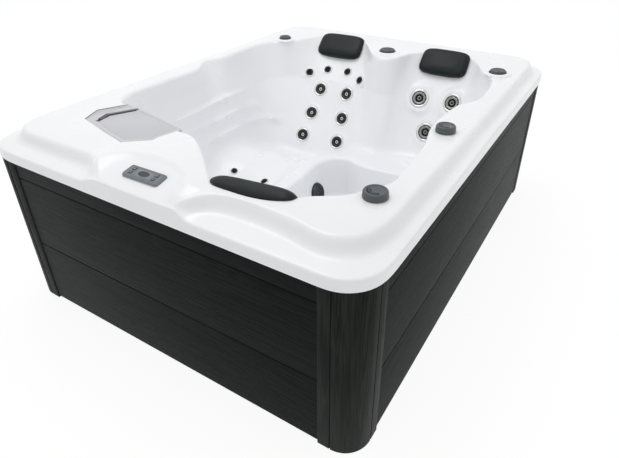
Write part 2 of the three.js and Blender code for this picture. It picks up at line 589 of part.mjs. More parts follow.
/** Unit normals of a grid that closes round, pointing up and into the pit. */
function gridNormals(grid) {
  const round = grid.length;
  return grid.map((column, station) => column.map((point, row) => {
    const ahead = grid[(station + 1) % round][row];
    const behind = grid[(station + round - 1) % round][row];
    const inner = column[Math.min(row + 1, column.length - 1)];
    const outer = column[Math.max(row - 1, 0)];
    const along = new THREE.Vector3().subVectors(ahead, behind);
    const down = new THREE.Vector3().subVectors(inner, outer);
    const normal = down.cross(along).negate();
    return row === column.length - 1 ? new THREE.Vector3(0, 0, 1) : normal.normalize();
  }));
}

/** Turns a list of corner points and triangles into a geometry. */
function geometryFrom(points, triangles) {
  const geometry = new THREE.BufferGeometry().setFromPoints(points);
  geometry.setIndex(triangles.flat());
  return geometry;
}

/** The whole shell before its fittings' holes are cut, its top raised by a stand-off. */
function shellGeometry(standOff = 0) {
  const angles = stationAngles(STATIONS);
  const grid = shellGrid(angles);
  const normals = gridNormals(grid);
  const belowRows = undersideRows(sectionCorners(angles[0]));
  const round = grid.length;
  const rows = grid[0].length;
  const points = [];
  const triangles = [];
  const top = grid.map((column, station) => column.slice(0, -1).map((point, row) => (
    points.push(point.clone().addScaledVector(normals[station][row], standOff)) - 1
  )));
  const topCentre = points.push(grid[0][rows - 1].clone().setZ(FLOOR_HEIGHT + standOff)) - 1;
  const under = grid.map((column, station) => belowRows.map((row) => {
    const inward = normals[station][row].clone().negate();
    if (row === 0) inward.setZ(0).normalize();
    return points.push(column[row].clone().addScaledVector(inward, SHELL_WALL)) - 1;
  }));
  const underCentre = points.push(grid[0][rows - 1].clone().setZ(FLOOR_HEIGHT - SHELL_WALL)) - 1;
  const last = belowRows.length - 1;
  for (let station = 0; station < round; station += 1) {
    const next = (station + 1) % round;
    for (let row = 0; row + 2 < rows; row += 1) {
      triangles.push([top[station][row], top[next][row], top[next][row + 1]]);
      triangles.push([top[station][row], top[next][row + 1], top[station][row + 1]]);
    }
    for (let row = 0; row < last; row += 1) {
      triangles.push([under[station][row], under[next][row + 1], under[next][row]]);
      triangles.push([under[station][row], under[station][row + 1], under[next][row + 1]]);
    }
    triangles.push([top[station][rows - 2], top[next][rows - 2], topCentre]);
    triangles.push([under[next][last], under[station][last], underCentre]);
    triangles.push([top[station][0], under[next][0], top[next][0]]);
    triangles.push([top[station][0], under[station][0], under[next][0]]);
  }
  return geometryFrom(points, triangles);
}

// Forms: three.js shapes them, and the boolean library cuts and joins them

/** A geometry with its shared vertices merged and its empty triangles dropped. */
function welded(geometry) {
  const bare = geometry.clone();
  bare.deleteAttribute('normal');
  bare.deleteAttribute('uv');
  const merged = mergeVertices(bare, WELD_DISTANCE);
  const corners = merged.index.array;
  const kept = [];
  for (let at = 0; at < corners.length; at += 3) {
    const [a, b, c] = corners.slice(at, at + 3);
    if (a !== b && b !== c && c !== a) kept.push(a, b, c);
  }
  merged.setIndex(kept);
  return merged;
}

/** A solid for cutting and joining, from a geometry that a matrix places. */
function solidOf(geometry, matrix = new THREE.Matrix4()) {
  const placed = welded(geometry).applyMatrix4(matrix);
  return new wasm.Manifold(new wasm.Mesh({
    numProp: 3,
    vertProperties: new Float32Array(placed.attributes.position.array),
    triVerts: new Uint32Array(placed.index.array),
  }));
}

/** The geometry of a solid. */
function geometryOf(solid) {
  const { vertProperties, triVerts } = solid.getMesh();
  const geometry = new THREE.BufferGeometry();
  geometry.setAttribute('position', new THREE.Float32BufferAttribute(vertProperties, 3));
  geometry.setIndex(Array.from(triVerts));
  return geometry;
}

/** Joins a list of solids. */
function joined(solids) {
  return solids.reduce((whole, solid) => whole.add(solid));
}

/** A turned form about +Z. Its profile runs from the axis below, outside, to the axis above. */
function turned(profile, sides) {
  const points = profile.map(([radius, height]) => new THREE.Vector2(radius, height));
  return new THREE.LatheGeometry(points, sides).rotateX(Math.PI / 2);
}

/** A cylinder about +Z from one height to another. */
function cylinder(radius, bottom, top, sides = SMALL_SIDES) {
  return turned([[0, bottom], [radius, bottom], [radius, top], [0, top]], sides);
}

/** A prism over an outline in X and Y, from one height to another. */
function prism(outline, bottom, top) {
  const shape = new THREE.Shape(outline.map(([x, y]) => new THREE.Vector2(x, y)));
  const form = new THREE.ExtrudeGeometry(shape, { depth: top - bottom, bevelEnabled: false });
  return form.translate(0, 0, bottom);
}

/** A box over a middle point in X and Y, from one height to another. */
function block(x, y, width, length, bottom, top) {
  return new THREE.BoxGeometry(width, length, top - bottom).translate(x, y, (bottom + top) / 2);
}

/** How wide a socket with flat sides has to be for a stem to turn in it. */
function holeFor(stemRadius) {
  return (stemRadius + RUNNING_GAP) / Math.cos(Math.PI / SOCKET_SIDES);
}

/** A point from shares of the half width, half length and deck height. */
function place([across, along, up = 0]) {
  return new THREE.Vector3(across * HALF_WIDTH, along * HALF_LENGTH, up * DECK_HEIGHT);
}

/** A matrix that stands +Z along an axis, with +X square to it and to another direction. */
function standing(axis, position, beside = UP) {
  const level = beside.clone().cross(axis);
  if (level.lengthSq() < Number.EPSILON) level.set(1, 0, 0);
  level.normalize();
  return new THREE.Matrix4().makeBasis(level, axis.clone().cross(level), axis).setPosition(position);
}

/** A straight pipe between two points, a little long so that it joins the next one. */
function pipeBetween(start, end, radius) {
  const run = new THREE.Vector3().subVectors(end, start);
  const form = cylinder(radius, -radius / 2, run.length() + radius / 2, PIPE_SIDES);
  return solidOf(form, standing(run.normalize(), start));
}

/** Pipes through a row of points. */
function pipeRun(points, radius) {
  return points.slice(1).map((point, index) => pipeBetween(points[index], point, radius));
}

const finishes = {
  acrylic: new THREE.MeshStandardMaterial({ color: 0xe8ebee, roughness: 0.15, metalness: 0 }),
  composite: new THREE.MeshStandardMaterial({ color: 0x2a2b28, roughness: 0.6, metalness: 0 }),
  timber: new THREE.MeshStandardMaterial({ color: 0xa98a5f, roughness: 0.8, metalness: 0 }),
  tray: new THREE.MeshStandardMaterial({ color: 0x1d1e1f, roughness: 0.6, metalness: 0 }),
  steel: new THREE.MeshStandardMaterial({ color: 0xb9bcbd, roughness: 0.25, metalness: 1 }),
  fitting: new THREE.MeshStandardMaterial({ color: 0x565a5e, roughness: 0.35, metalness: 0 }),
  pale: new THREE.MeshStandardMaterial({ color: 0xc9cacd, roughness: 0.4, metalness: 0 }),
  screen: new THREE.MeshStandardMaterial({ color: 0x3a4042, roughness: 0.15, metalness: 0 }),
  button: new THREE.MeshStandardMaterial({ color: 0x4a4d53, roughness: 0.5, metalness: 0 }),
  pillow: new THREE.MeshStandardMaterial({ color: 0x1c1f21, roughness: 0.45, metalness: 0 }),
  suction: new THREE.MeshStandardMaterial({ color: 0x2b3538, roughness: 0.4, metalness: 0 }),
  pipe: new THREE.MeshStandardMaterial({ color: 0xdcdcd8, roughness: 0.4, metalness: 0 }),
  filter: new THREE.MeshStandardMaterial({ color: 0xe4e7e8, roughness: 0.8, metalness: 0 }),
  pump: new THREE.MeshStandardMaterial({ color: 0x33373b, roughness: 0.5, metalness: 0 }),
};

const group = new THREE.Group();

/** Adds a named piece to a group. */
function addPiece(parent, name, geometry, finish) {
  const mesh = new THREE.Mesh(welded(geometry), finishes[finish]);
  mesh.name = name;
  parent.add(mesh);
  return mesh;
}

// Places on the shell, found by looking at it along rays

const wholeShell = new THREE.Mesh(shellGeometry(), finishes.acrylic);
const ray = new THREE.Raycaster();
const LOOK_DISTANCE = LOOK_SHARE * DECK_HEIGHT;

/** Where a ray first meets the shell's surface from outside it. */
function meetShell(start, direction) {
  ray.set(start, direction);
  return ray.intersectObject(wholeShell)[0];
}

/** Points over a round footprint, in its own plane. */
function roundFootprint(radius) {
  const points = [[0, 0]];
  for (const share of FOOTPRINT_RING_SHARES) {
    for (let step = 0; step < FOOTPRINT_STEPS; step += 1) {
      const angle = step / FOOTPRINT_STEPS * 2 * Math.PI;
      points.push([radius * share * Math.cos(angle), radius * share * Math.sin(angle)]);
    }
  }
  return points;
}

/** Points over a four-sided footprint, in its own plane. */
function boxFootprint(width, length) {
  const points = [];
  for (let across = 0; across <= FOOTPRINT_STEPS; across += 1) {
    for (let along = 0; along <= FOOTPRINT_STEPS; along += 1) {
      points.push([(across / FOOTPRINT_STEPS - 0.5) * width, (along / FOOTPRINT_STEPS - 0.5) * length]);
    }
  }
  return points;
}

/**
 * Seats a footprint on the shell where a ray meets it. Gives the axis out of the surface, the
 * point where a flat back clears the surface, and how far below it the wall's other side ends.
 */
function seatOnShell(start, direction, footprint, beside = UP) {
  const middle = meetShell(start, direction).point;
  let axis = direction.clone().negate();
  const look = (side) => footprint.map(([across, along]) => {
    const frame = standing(axis, middle, beside);
    const from = new THREE.Vector3(across, along, side * LOOK_DISTANCE).applyMatrix4(frame);
    return meetShell(from, axis.clone().multiplyScalar(-side));
  }).filter((hit) => hit);
  for (let pass = 0; pass < 2; pass += 1) {
    const sum = new THREE.Vector3();
    for (const hit of look(1)) sum.add(hit.face.normal);
    axis = sum.normalize();
  }
  const above = (hit) => hit.point.clone().sub(middle).dot(axis);
  const rise = Math.max(...look(1).map(above));
  const back = Math.min(...look(-1).map(above));
  return {
    axis,
    middle,
    point: middle.clone().addScaledVector(axis, rise + SEAT_GAP),
    wall: rise - back + 2 * SEAT_GAP,
  };
}

const shellCuts = [];

// Jets. A jet's face sits on the wall, and its stem turns in a body behind it.

/** The jet's turned form about its own axis, its flat back at zero. */
function jetGeometry(faceRadius, sides) {
  const stem = faceRadius * JET_STEM_SHARE;
  return turned([
    [0, -JET_STEM_LENGTH], [stem, -JET_STEM_LENGTH], [stem, 0], [faceRadius, 0],
    [faceRadius, JET_EDGE_HEIGHT], [faceRadius * JET_RING_SHARE, JET_FACE_HEIGHT],
    [faceRadius * JET_NOZZLE_SHARE, JET_FACE_HEIGHT], [0, JET_WELL_HEIGHT],
  ], sides);
}

/** A socket behind the wall for a stem, and the point where its hose joins. */
function socketBehind(seat, stemRadius, stemLength, bodyWall, bodyLength) {
  const bore = holeFor(stemRadius);
  const frame = standing(seat.axis, seat.point);
  const body = solidOf(cylinder(bore + bodyWall, -seat.wall - bodyLength, -seat.wall, SOCKET_SIDES), frame);
  const hollow = solidOf(cylinder(bore, -stemLength - CUT_OVERRUN, CUT_OVERRUN, SOCKET_SIDES), frame);
  shellCuts.push(solidOf(cylinder(bore, -seat.wall - CUT_OVERRUN, CUT_OVERRUN, SOCKET_SIDES), frame));
  const joint = new THREE.Vector3(0, 0, -seat.wall - bodyLength + bodyWall).applyMatrix4(frame);
  return { body: body.subtract(hollow), hollow, joint };
}

/** Seats a jet on the wall that a ray meets, and gives its socket. */
function addJet({ name, size }, start, direction) {
  const radius = JET_FACE_RADIUS[size];
  const seat = seatOnShell(start, direction, roundFootprint(radius));
  const sides = radius > JET_FACE_RADIUS.row ? WIDE_SIDES : SMALL_SIDES;
  const jet = addPiece(group, name, jetGeometry(radius, sides), 'steel');
  jet.applyMatrix4(standing(seat.axis, seat.point));
  return socketBehind(seat, radius * JET_STEM_SHARE, JET_STEM_LENGTH, JET_BODY_WALL, JET_BODY_LENGTH);
}

const UP = new THREE.Vector3(0, 0, 1);
const DOWN = new THREE.Vector3(0, 0, -1);
const TO_BACK = new THREE.Vector3(0, 1, 0);

const backSockets = BACK_JETS.map((jet) => {
  const [across, up] = jet.shares;
  return addJet(jet, place([across, RAY_START_SHARE, up]), TO_BACK);
});
const calfSockets = CALF_JETS.map((jet) => addJet(jet, place([...jet.shares, 1]), DOWN));

// Suction cover: a dome over the pump's inlet, low on the footwell's wall

const suctionAim = new THREE.Vector3(FOOTWELL_CENTRE.x, FOOTWELL_CENTRE.y, SUCTION_HEIGHT);
const suctionWay = place(SUCTION_PLACE_SHARES).setZ(SUCTION_HEIGHT).sub(suctionAim).normalize();
const suctionSeat = seatOnShell(suctionAim, suctionWay, roundFootprint(SUCTION_RADIUS));
const suctionCover = addPiece(group, 'suction_cover', turned([
  [0, -JET_STEM_LENGTH], [SUCTION_STEM_RADIUS, -JET_STEM_LENGTH], [SUCTION_STEM_RADIUS, 0],
  [SUCTION_RADIUS, 0], [SUCTION_RADIUS, SUCTION_EDGE],
  ...SUCTION_DOME_SHARES.map(([out, up]) => [SUCTION_RADIUS * out, SUCTION_RISE * up]),
  [0, SUCTION_RISE],
], WIDE_SIDES), 'suction');
suctionCover.applyMatrix4(standing(suctionSeat.axis, suctionSeat.point));
const suctionSocket = socketBehind(
  suctionSeat, SUCTION_STEM_RADIUS, JET_STEM_LENGTH, JET_BODY_WALL, JET_BODY_LENGTH,
);

// Diverter knobs: each turns on the deck over a valve in the pressure pipes

const diverterSockets = KNOBS.map((knob) => {
  const seat = seatOnShell(place([...knob.shares, LOOK_FROM_SHARE]), DOWN, roundFootprint(knob.radius));
  const mesh = addPiece(group, knob.name, turned([
    [0, -KNOB_STEM_LENGTH], [KNOB_STEM_RADIUS, -KNOB_STEM_LENGTH], [KNOB_STEM_RADIUS, 0], [knob.radius, 0],
    ...KNOB_SHOULDER_SHARES.map(([out, up]) => [knob.radius * out, knob.height * up]),
    [0, knob.height - KNOB_DISH],
  ], WIDE_SIDES), 'fitting');
  mesh.applyMatrix4(standing(seat.axis, seat.point));
  return socketBehind(seat, KNOB_STEM_RADIUS, KNOB_STEM_LENGTH, DIVERTER_WALL, DIVERTER_LENGTH);
});

// Air caps: each turns on the deck in an air valve that hangs under it

for (const cap of CAPS) {
  const seat = seatOnShell(place([...cap.shares, LOOK_FROM_SHARE]), DOWN, roundFootprint(cap.radius));
  const mesh = addPiece(group, `air_cap_${cap.name}`, turned([
    [0, -CAP_STEM_LENGTH], [CAP_STEM_RADIUS, -CAP_STEM_LENGTH], [CAP_STEM_RADIUS, 0], [cap.radius, 0],
    ...CAP_SHOULDER_SHARES.map(([out, up]) => [cap.radius * out, CAP_HEIGHT * up]),
    [0, CAP_HEIGHT - CAP_DISH],
  ], WIDE_SIDES), 'fitting');
  const frame = standing(seat.axis, seat.point);
  mesh.applyMatrix4(frame);
  const bore = holeFor(CAP_STEM_RADIUS);
  shellCuts.push(solidOf(cylinder(bore, -seat.wall - CUT_OVERRUN, CUT_OVERRUN, SOCKET_SIDES), frame));
  const outside = bore + VALVE_WALL;
  const valve = addPiece(group, `air_valve_${cap.name}`, turned([
    [0, -VALVE_LENGTH], [outside, -VALVE_LENGTH], [outside, -VALVE_FLANGE_HEIGHT],
    [outside + VALVE_FLANGE, -VALVE_FLANGE_HEIGHT], [outside + VALVE_FLANGE, 0], [bore, 0],
    [bore, -VALVE_LENGTH + VALVE_WALL], [0, -VALVE_LENGTH + VALVE_WALL],
  ], SOCKET_SIDES), 'pipe');
  valve.applyMatrix4(frame.multiply(new THREE.Matrix4().setPosition(0, 0, -seat.wall)));
}

// Control panel: a housing let into the console, with a screen and four buttons

const panelPlace = place([...PANEL_PLACE_SHARES, LOOK_FROM_SHARE]);
const panelSeat = seatOnShell(panelPlace, DOWN, boxFootprint(PANEL_WIDTH, PANEL_LENGTH), TO_BACK);
const panelFrame = standing(panelSeat.axis, panelSeat.point, TO_BACK);
const panel = new THREE.Group();
panel.applyMatrix4(panelFrame);
group.add(panel);

/** A block of the panel in its own frame. */
function panelSolid(x, y, width, length, bottom, top) {
  return solidOf(block(x, y, width, length, bottom, top));
}

const buttonPlaces = [-1, 1].flatMap((side) => [-1, 1].map((row) => [side * BUTTON_OUT, row * BUTTON_UP]));
const buttonFloor = PANEL_RISE + BUTTON_PROUD - BUTTON_HEIGHT - BUTTON_TRAVEL - SEAT_GAP;
const screenFloor = PANEL_RISE - SCREEN_THICKNESS;

/** The rim of the housing: a low block whose sides lean in. */
function panelRim() {
  const half = [PANEL_WIDTH / 2, PANEL_LENGTH / 2];
  const corners = [[-1, -1], [1, -1], [1, 1], [-1, 1]];
  const ring = (inset, height) => corners.map(([x, y]) => new THREE.Vector3(
    x * (half[0] - inset), y * (half[1] - inset), height,
  ));
  const points = [...ring(0, 0), ...ring(PANEL_EDGE_SLOPE, PANEL_RISE)];
  const triangles = [[0, 2, 1], [0, 3, 2], [4, 5, 6], [4, 6, 7]];
  corners.forEach((_, side) => {
    const next = (side + 1) % corners.length;
    triangles.push([side, next, next + corners.length], [side, next + corners.length, side + corners.length]);
  });
  return geometryFrom(points, triangles);
}

/** A recess in the panel for a block of a given size, with a gap all round it. */
function panelRecess(x, y, width, length, gap, bottom) {
  return panelSolid(x, y, width + 2 * gap, length + 2 * gap, bottom, PANEL_RISE + CUT_OVERRUN);
}

const panelBody = panelSolid(0, 0, PANEL_BODY_WIDTH, PANEL_BODY_LENGTH, -PANEL_BODY_DEPTH, screenFloor);
const panelRecesses = [
  panelRecess(0, 0, SCREEN_WIDTH, SCREEN_LENGTH, SEAT_GAP, screenFloor - SEAT_GAP),
  ...buttonPlaces.map(([x, y]) => panelRecess(x, y, BUTTON_WIDTH, BUTTON_LENGTH, RUNNING_GAP, buttonFloor)),
];
const housing = panelRecesses.reduce((whole, recess) => whole.subtract(recess), solidOf(panelRim()).add(panelBody));
addPiece(panel, 'panel_housing', geometryOf(housing), 'fitting');
addPiece(panel, 'panel_screen', block(0, 0, SCREEN_WIDTH, SCREEN_LENGTH, screenFloor, PANEL_RISE), 'screen');
['left_lower', 'left_upper', 'right_lower', 'right_upper'].forEach((name, index) => {
  const [x, y] = buttonPlaces[index];
  const top = PANEL_RISE + BUTTON_PROUD;
  const form = block(x, y, BUTTON_WIDTH, BUTTON_LENGTH, top - BUTTON_HEIGHT, top);
  addPiece(panel, `button_${name}`, form, 'button');
});
shellCuts.push(solidOf(block(
  0, 0, PANEL_BODY_WIDTH + 2 * RUNNING_GAP, PANEL_BODY_LENGTH + 2 * RUNNING_GAP,
  -panelSeat.wall - CUT_OVERRUN, CUT_OVERRUN,
), panelFrame));

// Filter housing: a flange in the deck's corner, a chamber open to the pit and a canister below

const filter = new THREE.Group();
filter.position.copy(place(FILTER_PLACE_SHARES));
filter.rotation.z = THREE.MathUtils.degToRad(FILTER_YAW_DEGREES);
filter.updateMatrix();
group.add(filter);

const filterOutline = (shares) => shares.map(([along, away]) => [along * FILTER_WIDTH, away * FILTER_DEPTH]);

/** An outline moved out from its own middle by a distance. */
function grown(outline, distance) {
  return outline.map(([x, y], index) => {
    const before = new THREE.Vector2(...outline[(index + outline.length - 1) % outline.length]);
    const here = new THREE.Vector2(x, y);
    const after = new THREE.Vector2(...outline[(index + 1) % outline.length]);
    const into = here.clone().sub(before).normalize();
    const out = after.sub(here).normalize();
    const bisector = new THREE.Vector2(into.y + out.y, -into.x - out.x).normalize();
    const run = distance / Math.max(bisector.dot(new THREE.Vector2(into.y, -into.x)), FILLET_SHARE_OF_WALL);
    return [x + bisector.x * run, y + bisector.y * run];
  });
}

const flangeTop = DECK_HEIGHT - FLANGE_DROP;
const flangeBottom = flangeTop - FLANGE_THICKNESS;
const lidFloor = flangeTop - LID_THICKNESS;
const chamberInside = CHAMBER_WIDTH - 2 * CHAMBER_WALL;
const canisterAt = new THREE.Matrix4().setPosition(0, -CANISTER_SETBACK, 0);

/** A box of the chamber, from its back to its nose in the pit's wall. */
function chamberBox(width, inset, nose, bottom, top) {
  const length = CHAMBER_DEPTH - inset + nose;
  return solidOf(block(0, nose - length / 2, width, length, bottom, top));
}

const filterPlate = filterOutline(FILTER_OUTLINE_SHARES);
const lidOutline = filterOutline(LID_OUTLINE_SHARES);
const chamberFloor = CHAMBER_SILL_HEIGHT + CHAMBER_WALL;
const ledge = 2 * CHAMBER_WALL;
const filterSolids = [
  solidOf(prism(filterPlate, flangeBottom, flangeTop)),
  chamberBox(CHAMBER_WIDTH, 0, CHAMBER_NOSE, CHAMBER_SILL_HEIGHT, flangeBottom + FLANGE_DROP),
  solidOf(cylinder(CANISTER_RADIUS, CANISTER_BOTTOM_HEIGHT, chamberFloor, WIDE_SIDES), canisterAt),
];
const filterHollows = [
  solidOf(prism(grown(lidOutline, RUNNING_GAP), lidFloor - SEAT_GAP, flangeTop + CUT_OVERRUN)),
  solidOf(prism(filterOutline(SLOT_OUTLINE_SHARES), flangeBottom - CUT_OVERRUN, flangeTop + CUT_OVERRUN)),
  solidOf(block(
    0, -CHAMBER_DEPTH / 2, chamberInside - 2 * ledge, CHAMBER_DEPTH - 2 * ledge,
    chamberFloor, flangeTop + CUT_OVERRUN,
  )),
  chamberBox(chamberInside, CHAMBER_WALL, CHAMBER_NOSE + CUT_OVERRUN, chamberFloor, flangeBottom),
  solidOf(cylinder(
    CANISTER_RADIUS - CHAMBER_WALL, CANISTER_BOTTOM_HEIGHT + CHAMBER_WALL, flangeBottom, WIDE_SIDES,
  ), canisterAt),
  solidOf(cylinder(
    holeFor(CARTRIDGE_SPIGOT_RADIUS), CANISTER_BOTTOM_HEIGHT - CUT_OVERRUN, chamberFloor, SOCKET_SIDES,
  ), canisterAt),
];
const filterHousing = filterHollows.reduce((whole, hollow) => whole.subtract(hollow), joined(filterSolids));
addPiece(filter, 'filter_housing', geometryOf(filterHousing), 'pale');
addPiece(filter, 'filter_lid', prism(lidOutline, lidFloor, flangeTop), 'pale');

const cartridgeBottom = CANISTER_BOTTOM_HEIGHT + CHAMBER_WALL + SEAT_GAP;
const spigotEnd = -CHAMBER_WALL - SEAT_GAP;
const sleeveRadius = CARTRIDGE_RADIUS - CARTRIDGE_WAIST;
const upperCap = CARTRIDGE_LENGTH - CARTRIDGE_CAP_HEIGHT;
const gripTop = CARTRIDGE_LENGTH + CARTRIDGE_GRIP_HEIGHT;
const cartridge = addPiece(filter, 'filter_cartridge', turned([
  [0, spigotEnd], [CARTRIDGE_SPIGOT_RADIUS, spigotEnd], [CARTRIDGE_SPIGOT_RADIUS, 0],
  [CARTRIDGE_RADIUS, 0], [CARTRIDGE_RADIUS, CARTRIDGE_CAP_HEIGHT],
  [sleeveRadius, CARTRIDGE_CAP_HEIGHT], [sleeveRadius, upperCap], [CARTRIDGE_RADIUS, upperCap],
  [CARTRIDGE_RADIUS, CARTRIDGE_LENGTH], [CARTRIDGE_GRIP_RADIUS, CARTRIDGE_LENGTH],
  [CARTRIDGE_GRIP_RADIUS, gripTop], [0, gripTop],
], SMALL_SIDES), 'filter');
cartridge.position.set(0, -CANISTER_SETBACK, cartridgeBottom);

shellCuts.push(solidOf(
  prism(grown(filterPlate, RUNNING_GAP), flangeBottom - SEAT_GAP, DECK_HEIGHT + CUT_OVERRUN), filter.matrix,
));
shellCuts.push(solidOf(block(
  0, 0, CHAMBER_WIDTH + 2 * RUNNING_GAP, DECK_HEIGHT - CHAMBER_SILL_HEIGHT,
  CHAMBER_SILL_HEIGHT - SEAT_GAP, flangeBottom + CUT_OVERRUN,
), filter.matrix));

// Head pillows: crowned cushions with drawn-in corners, their backs cut to the wall's own form

/** A pillow's crowned form on a skirt, about the middle of its back. */
function pillowGeometry([width, length, thickness]) {
  const points = [];
  const triangles = [];
  const drawnIn = (value) => Math.sign(value) * Math.abs(value) ** (2 / PILLOW_SQUARENESS);
  const sections = [
    { out: PILLOW_ROW_SHARES[0][0], height: -PILLOW_SKIRT },
    ...PILLOW_ROW_SHARES.map(([out, up]) => ({ out, height: up * thickness })),
  ];
  const rows = sections.map(({ out, height }) => Array.from({ length: PILLOW_SIDES }, (_, side) => {
    const angle = side / PILLOW_SIDES * 2 * Math.PI;
    const x = out * width / 2 * drawnIn(Math.cos(angle));
    const y = out * length / 2 * drawnIn(Math.sin(angle));
    return points.push(new THREE.Vector3(x, y, height)) - 1;
  }));
  const bottom = points.push(new THREE.Vector3(0, 0, -PILLOW_SKIRT)) - 1;
  const top = points.push(new THREE.Vector3(0, 0, thickness)) - 1;
  for (let side = 0; side < PILLOW_SIDES; side += 1) {
    const next = (side + 1) % PILLOW_SIDES;
    triangles.push([bottom, rows[0][next], rows[0][side]]);
    triangles.push([top, rows[rows.length - 1][side], rows[rows.length - 1][next]]);
    for (let row = 0; row + 1 < rows.length; row += 1) {
      triangles.push([rows[row][side], rows[row][next], rows[row + 1][next]]);
      triangles.push([rows[row][side], rows[row + 1][next], rows[row + 1][side]]);
    }
  }
  return geometryFrom(points, triangles);
}

const raisedShell = solidOf(shellGeometry(PILLOW_GAP));
for (const pillow of PILLOWS) {
  const [across, up] = pillow.shares;
  const size = pillow.sizeShares.map((share) => share * HALF_WIDTH);
  const start = place([across, pillow.end * RAY_START_SHARE, up]);
  const seat = seatOnShell(start, TO_BACK.clone().multiplyScalar(pillow.end), boxFootprint(
    size[0] * PILLOW_FOOTPRINT_SHARE, size[1] * PILLOW_FOOTPRINT_SHARE,
  ));
  const whole = solidOf(pillowGeometry(size), standing(seat.axis, seat.middle));
  // The wall cuts the form in two: the pillow is the part that comes further out
  const reach = (geometry) => {
    const corners = geometry.attributes.position;
    const heights = Array.from({ length: corners.count }, (_, at) => (
      new THREE.Vector3().fromBufferAttribute(corners, at).dot(seat.axis)
    ));
    return Math.max(...heights);
  };
  const parts = whole.subtract(raisedShell).decompose().map(geometryOf);
  const outer = parts.reduce((best, part) => (reach(part) > reach(best) ? part : best));
  addPiece(group, pillow.name, outer, 'pillow');
}

// Shell with its holes

const cutShell = shellCuts.reduce((whole, cut) => whole.subtract(cut), solidOf(wholeShell.geometry));
addPiece(group, 'acrylic_shell', geometryOf(cutShell), 'acrylic');

// Pump and control pack on the base tray

const pumpBase = TRAY_HEIGHT + SEAT_GAP;
const pumpAxisHeight = pumpBase + PUMP_FOOT_THICKNESS + PUMP_WET_END_RADIUS;
const pumpPlace = place(PUMP_PLACE_SHARES);
const pumpMiddle = new THREE.Vector3(pumpPlace.x, pumpPlace.y, pumpAxisHeight);
const pumpTurn = new THREE.Matrix4().makeRotationY(Math.PI / 2).setPosition(pumpMiddle);
const portEnd = PUMP_WET_END_RADIUS + PUMP_PORT_LENGTH;
const cradleTop = pumpBase + PUMP_FOOT_THICKNESS + PUMP_WET_END_RADIUS - PUMP_MOTOR_RADIUS / 2;
const wetHalf = PUMP_WET_END_LENGTH / 2;
const pumpSolids = [
  solidOf(cylinder(PUMP_WET_END_RADIUS, -wetHalf, wetHalf, WIDE_SIDES), pumpTurn),
  solidOf(cylinder(PUMP_MOTOR_RADIUS, 0, wetHalf + PUMP_MOTOR_LENGTH, WIDE_SIDES), pumpTurn),
  solidOf(cylinder(PUMP_PORT_RADIUS, -wetHalf - PUMP_PORT_LENGTH, 0), pumpTurn),
  solidOf(cylinder(PUMP_PORT_RADIUS, 0, portEnd), standing(UP, pumpMiddle)),
  solidOf(block(
    pumpPlace.x + PUMP_FOOT_LENGTH / 2, pumpPlace.y, PUMP_FOOT_LENGTH, PUMP_FOOT_WIDTH, pumpBase, cradleTop,
  )),
];
addPiece(group, 'circulation_pump', geometryOf(joined(pumpSolids)), 'pump');

const packPlace = place(PACK_PLACE_SHARES);
const heaterHeight = pumpBase + HEATER_RADIUS;
const heaterAt = new THREE.Matrix4().makeRotationY(Math.PI / 2)
  .setPosition(packPlace.x, packPlace.y, heaterHeight);
addPiece(group, 'control_pack', geometryOf(joined([
  solidOf(block(packPlace.x, packPlace.y, PACK_WIDTH, PACK_DEPTH, heaterHeight, heaterHeight + PACK_HEIGHT)),
  solidOf(block(packPlace.x, packPlace.y, PACK_WIDTH, HEATER_RADIUS, pumpBase, heaterHeight + HEATER_RADIUS)),
  solidOf(cylinder(HEATER_RADIUS, -HEATER_LENGTH / 2, HEATER_LENGTH / 2), heaterAt),
])), 'pump');

// Pressure pipes: from the pump's outlet past both diverters to every jet

const pipeStart = SEAT_GAP + PIPE_RADIUS / 2;
const pumpOutlet = pumpMiddle.clone().addScaledVector(UP, portEnd + pipeStart);
const pressureRun = [pumpOutlet, ...PRESSURE_RUN_SHARES.map(place)];
const joints = (sockets) => sockets.map((socket) => socket.joint);
const neckJoints = joints(backSockets.slice(0, NECK_JET_COUNT));
const sideJoints = joints(backSockets.slice(NECK_JET_COUNT, -SEAT_JET_COUNT));
const seatJoints = joints(backSockets.slice(-SEAT_JET_COUNT));
const lowest = sideJoints.length / 2;
const hoseRun = [
  pressureRun[pressureRun.length - 1], ...seatJoints.reverse(), ...BEHIND_COLUMN_SHARES.map(place),
  sideJoints[lowest - 1],
];
const calfRun = [sideJoints[lowest], ...CALF_HOSE_SHARES.map(place), ...joints(calfSockets)];
const allSockets = [...backSockets, ...calfSockets, ...diverterSockets];
const pressurePipes = joined([
  ...pipeRun(pressureRun, PIPE_RADIUS),
  ...joints(diverterSockets).flatMap((joint) => (
    pipeRun([joint, joint.clone().setZ(pressureRun[1].z)], PIPE_RADIUS)
  )),
  ...pipeRun(hoseRun, HOSE_RADIUS),
  ...pipeRun([...neckJoints, ...sideJoints], HOSE_RADIUS),
  ...pipeRun(calfRun, HOSE_RADIUS),
  ...allSockets.map((socket) => socket.body),
]);
const pressure = allSockets.reduce((whole, socket) => whole.subtract(socket.hollow), pressurePipes);
addPiece(group, 'pressure_plumbing', geometryOf(pressure), 'pipe');

// Suction pipes: from the footwell and the filter to the pump's inlet, with a branch to the drain

